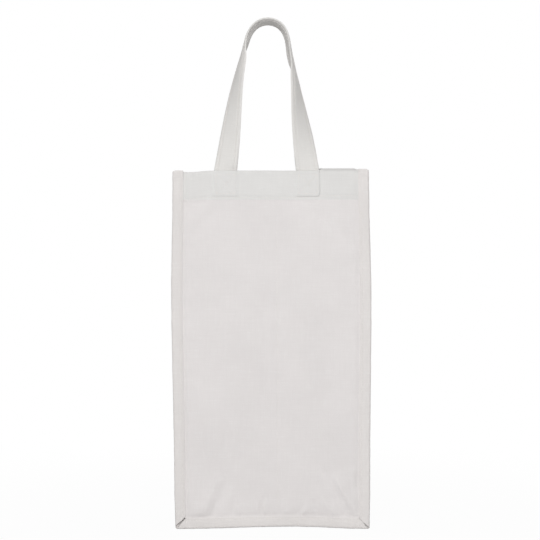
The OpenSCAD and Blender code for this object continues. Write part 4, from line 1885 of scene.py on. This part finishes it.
@dataclass
class Stitching:
    """The rows of thread on the bag itself, one short length of thread a stitch."""

    works: BagWorks
    # How deep a stitch's middle lies under the cloth's face, and under a tape's
    sunk: float = 0.05 * MM
    tape_sunk: float = 0.17 * MM
    # How far the rows along the tapes stop short of the mouth and of each other
    row_short: float = 1 * MM
    box_pitch: float = 3 * MM
    # Half lengths of the rows across a gusset's hem and the divider's, and of those
    # across the ends of the base
    hem_half: float = 42 * MM
    base_half: float = 44 * MM
    # How far over the foot and under the top of the divider its rows on the panels stop
    flange_from: float = 2 * MM
    flange_to: float = 17 * MM
    # How far under the divider's top the row of its hem lies, and how high over the floor
    # the rows that hold the base
    divider_hem: float = 13 * MM
    base_up: float = 4 * MM

    def sew(self, rows: Sequence[Threads], name: str, node: str) -> None:
        """Sews rows and places them as one piece.

        Args:
            rows: The rows of stitches, on the flat pattern.
            name: The piece's name.
            node: The node that it stands for.
        """
        mesh = ClothMesh()
        for row in rows:
            mesh.add_stitches(row, self.works.drape)
        self.works.place(mesh, name, "thread", [node])

    def build(self) -> None:
        """Sews the bindings, the hem, the strap's ends, the divider and the base."""
        for side in Side:
            word = side.word
            self.sew(self.binding_rows(side), f"{word}_binding_stitches", f"{word}_binding_stitching")
            self.sew(self.strap_boxes(side), f"{word}_strap_box_stitches", f"{word}_handle_stitching")
        self.sew(self.hem_rows(), "hem_stitches", "hem_stitching")
        self.sew(self.divider_rows(), "divider_stitches", "divider_stitching")
        self.sew(self.base_rows(), "base_seam_stitches", "base_seam_stitching")

    def binding_rows(self, side: Side) -> list[Threads]:
        """The three rows that hold the tapes of one face, on both sides of the fin.

        Args:
            side: Which face.

        Returns:
            The rows.
        """
        s = self.works.sizes
        row_x, row_z = s.half_w - s.tape_w + s.row_in, s.tape_w - s.row_in
        low, high = s.fin_w + self.row_short, s.mouth - self.row_short
        end = row_x - self.row_short
        rows = []
        for y, out in ((s.half_d - self.tape_sunk, 1), (s.half_d - s.fin_t + self.tape_sunk, -1)):
            y, up = side.value * y, (0, side.value * out, 0)
            for hand in Hand:
                x = hand.value * row_x
                rows.append(Threads.row((x, y, low), (x, y, high), up))
            rows.append(Threads.row((-end, y, row_z), (end, y, row_z), up))
        return rows

    def strap_boxes(self, side: Side) -> list[Threads]:
        """The crossed boxes through a strap's ends, seen outside and on the strap inside.

        Args:
            side: Which face.

        Returns:
            The rows.
        """
        s = self.works.sizes
        half, low, high = s.box
        inside = s.seam_y - s.cloth_t - s.strap_t + self.sunk
        rows = []
        for y, out in ((s.panel_y - self.sunk, 1), (inside, -1)):
            y, up = side.value * y, (0, side.value * out, 0)
            for hand in Hand:
                x = s.strap_mid + hand.value * s.strap_half
                corner = [(x + a * half, y, z) for z in (low, high) for a in (-1, 1)]
                for a, b in ((0, 1), (1, 3), (3, 2), (2, 0), (0, 3), (1, 2)):
                    rows.append(Threads.row(corner[a], corner[b], up, self.box_pitch))
        return rows

    def through_panel(self, side: Side, start: Pair, end: Pair) -> list[Threads]:
        """A row through a panel and the layer behind it, seen from both sides.

        Args:
            side: Which panel.
            start: Place across and height where the row begins.
            end: Place across and height where it ends.

        Returns:
            The outer and the inner row.
        """
        s = self.works.sizes
        rows = []
        for y, out in ((s.panel_y - self.sunk, 1), (s.seam_y - s.cloth_t + self.sunk, -1)):
            y = side.value * y
            up = (0, side.value * out, 0)
            rows.append(Threads.row((start[0], y, start[1]), (end[0], y, end[1]), up))
        return rows

    def hem_rows(self) -> list[Threads]:
        """The row round the mouth, outside and inside.

        Returns:
            The rows.
        """
        s = self.works.sizes
        z = s.row_z
        half = s.wall_x - 2 * s.row_in
        rows = [row for side in Side for row in self.through_panel(side, (-half, z), (half, z))]
        gussets = Gussets(self.works)
        for hand in Hand:
            for skin, out in ((-self.sunk, 1), (-2 * s.cloth_t + self.sunk, -1)):
                row = Threads.row((0, -self.hem_half, z), (0, self.hem_half, z), (hand.value * out, 0, 0))
                crease = gussets.crease_in(row.middle[:, 1], row.middle[:, 2])
                row.middle[:, 0] = hand.value * (s.wall_x + skin - crease)
                rows.append(row)
        return rows

    def divider_rows(self) -> list[Threads]:
        """The rows that hold the divider to each panel and the hem along its top.

        Returns:
            The rows.
        """
        s = self.works.sizes
        # Half way between the face of the wall and the edge of its flange
        x = (s.divider_edge + s.cloth_t / 2) / 2
        low, high = s.divider_low + self.flange_from, s.divider_high - self.flange_to
        rows = [row for side in Side for row in self.through_panel(side, (x, low), (x, high))]
        z, half = s.divider_high - self.divider_hem, self.hem_half
        skin = s.sheet_t / 2 - self.sunk
        for x, out in ((-skin, -1), (2 * s.bend + skin, 1)):
            rows.append(Threads.row((x, -half, z), (x, half, z), (out, 0, 0)))
        return rows

    def base_rows(self) -> list[Threads]:
        """The rows that join the base to the foot of each gusset.

        Returns:
            The rows.
        """
        s = self.works.sizes
        z, half = s.fin_w + s.cloth_t + self.base_up, self.base_half
        rows = []
        for hand in Hand:
            for x, out in ((s.wall_x - self.sunk, 1), (s.wall_x - 2 * s.cloth_t + self.sunk, -1)):
                x = hand.value * x
                rows.append(Threads.row((x, -half, z), (x, half, z), (hand.value * out, 0, 0)))
        return rows


@dataclass(frozen=True)
class Lamp:
    """A square soft lamp: its name, place, length of side and power in watts."""

    name: str
    place: Spot
    size: float
    power: float

    def build(self, aim: Spot) -> None:
        """Adds the lamp, pointing at a place.

        Args:
            aim: What it points at.
        """
        light = bpy.data.lights.new(self.name, "AREA")
        light.shape, light.size, light.energy = "SQUARE", self.size, self.power
        made = new_object(self.name, light)
        made.location = self.place
        x, y, z = np.subtract(aim, self.place)
        made.rotation_euler = (math.atan2(math.hypot(x, y), -z), 0, math.atan2(-x, y))


@dataclass
class Studio:
    """The white floor and surroundings, the soft lamps and the camera."""

    floor_half: float = 12.0
    paper: str = "#d4d4d4"
    # Share of the floor's look that is plain white, so that shadows stay faint on it
    plain_share: float = 0.965
    # Distances between which the paper fades to plain white
    fade: Pair = (0.12, 0.75)
    surround: float = 0.42
    # The lamps, and the place in the middle of the bag that they point at
    lamps: tuple[Lamp, ...] = (
        Lamp("key", (-0.6, -3.4, 1.45), 1.1, 64.0),
        Lamp("fill", (0.9, -2.3, 0.25), 0.4, 5.0),
        Lamp("rear", (0.9, 2.4, 0.75), 1.2, 30.0),
    )
    aim: Spot = (0.0, 0.0, 0.22)
    # The camera's place, its lens and sensor in millimetres, and what it can see
    eye: Spot = (-1.1 * MM, -1.5428, 0.2579)
    lens: float = 100.0
    sensor: float = 36.0
    clip: Pair = (0.05, 60.0)

    def build(self) -> None:
        """Builds the floor, the surroundings, the lamps and the camera."""
        self.floor()
        self.surroundings()
        for lamp in self.lamps:
            lamp.build(self.aim)
        camera = bpy.data.cameras.new("camera")
        camera.lens, camera.sensor_width = self.lens, self.sensor
        camera.clip_start, camera.clip_end = self.clip
        made = new_object("camera", camera)
        made.location = self.eye
        made.rotation_euler = (math.pi / 2, 0, 0)
        bpy.context.scene.camera = made
        bpy.context.scene.view_settings.view_transform = "Standard"

    def seen(self, tree: Tree, share: float | Socket) -> Socket:
        """A share for rays that show the background: from the camera, gloss and glass.

        Args:
            tree: The node tree that asks.
            share: The value for such rays. Others get 0.

        Returns:
            The value's socket.
        """
        rays = add_node(tree, "LightPath").outputs
        direct = worked_out(tree, "Math", "MAXIMUM", rays["Is Camera Ray"], rays["Is Glossy Ray"])
        both = worked_out(tree, "Math", "MAXIMUM", direct, rays["Is Transmission Ray"])
        return worked_out(tree, "Math", "MULTIPLY", both, share)

    def floor(self) -> None:
        """Builds the floor: matt white paper that keeps a faint shadow."""
        h = self.floor_half
        mesh = bpy.data.meshes.new("floor")
        mesh.from_pydata([(-h, -h, 0), (h, -h, 0), (h, h, 0), (-h, h, 0)], [], [(0, 1, 2, 3)])
        material = bpy.data.materials.new("white_paper_floor")
        tree = fresh_tree(material)
        spot = add_node(tree, "TexCoord").outputs["Object"]
        far = add_node(tree, "VectorMath", {"operation": "LENGTH"}, in0=spot).outputs["Value"]
        share = ranged(tree, far, self.fade, (self.plain_share, 1.0))
        matt = add_node(tree, "BsdfDiffuse", Color=linear(self.paper))
        plain = add_node(tree, "Emission", Color=(1, 1, 1, 1), Strength=1.0)
        mixed = add_node(tree, "MixShader", in0=self.seen(tree, share),
                         in1=matt.outputs[0], in2=plain.outputs[0])
        add_node(tree, "OutputMaterial", Surface=mixed.outputs[0])
        mesh.materials.append(material)
        new_object("floor", mesh)

    def surroundings(self) -> None:
        """Lights the scene evenly from all round, and shows white to the camera."""
        world = bpy.data.worlds.new("studio")
        tree = fresh_tree(world)
        dim = add_node(tree, "Background", Color=(1, 1, 1, 1), Strength=self.surround)
        white = add_node(tree, "Background", Color=(1, 1, 1, 1), Strength=1.0)
        mixed = add_node(tree, "MixShader", in0=self.seen(tree, 1.0),
                         in1=dim.outputs[0], in2=white.outputs[0])
        add_node(tree, "OutputWorld", Surface=mixed.outputs[0])
        bpy.context.scene.world = world


def main() -> None:
    """Builds the bag from its frame, then its surroundings."""
    logging.basicConfig(level=logging.INFO, format="%(name)s: %(message)s")
    sizes = BagSizes.from_frame()
    works = BagWorks(sizes, Drape(sizes))
    for part in (Panels, Gussets, Base, Divider, Bindings, Handles, Stitching):
        log.info("building the %s", part.__name__)
        part(works).build()
    Studio().build()


if __name__ == "__main__":
    main()
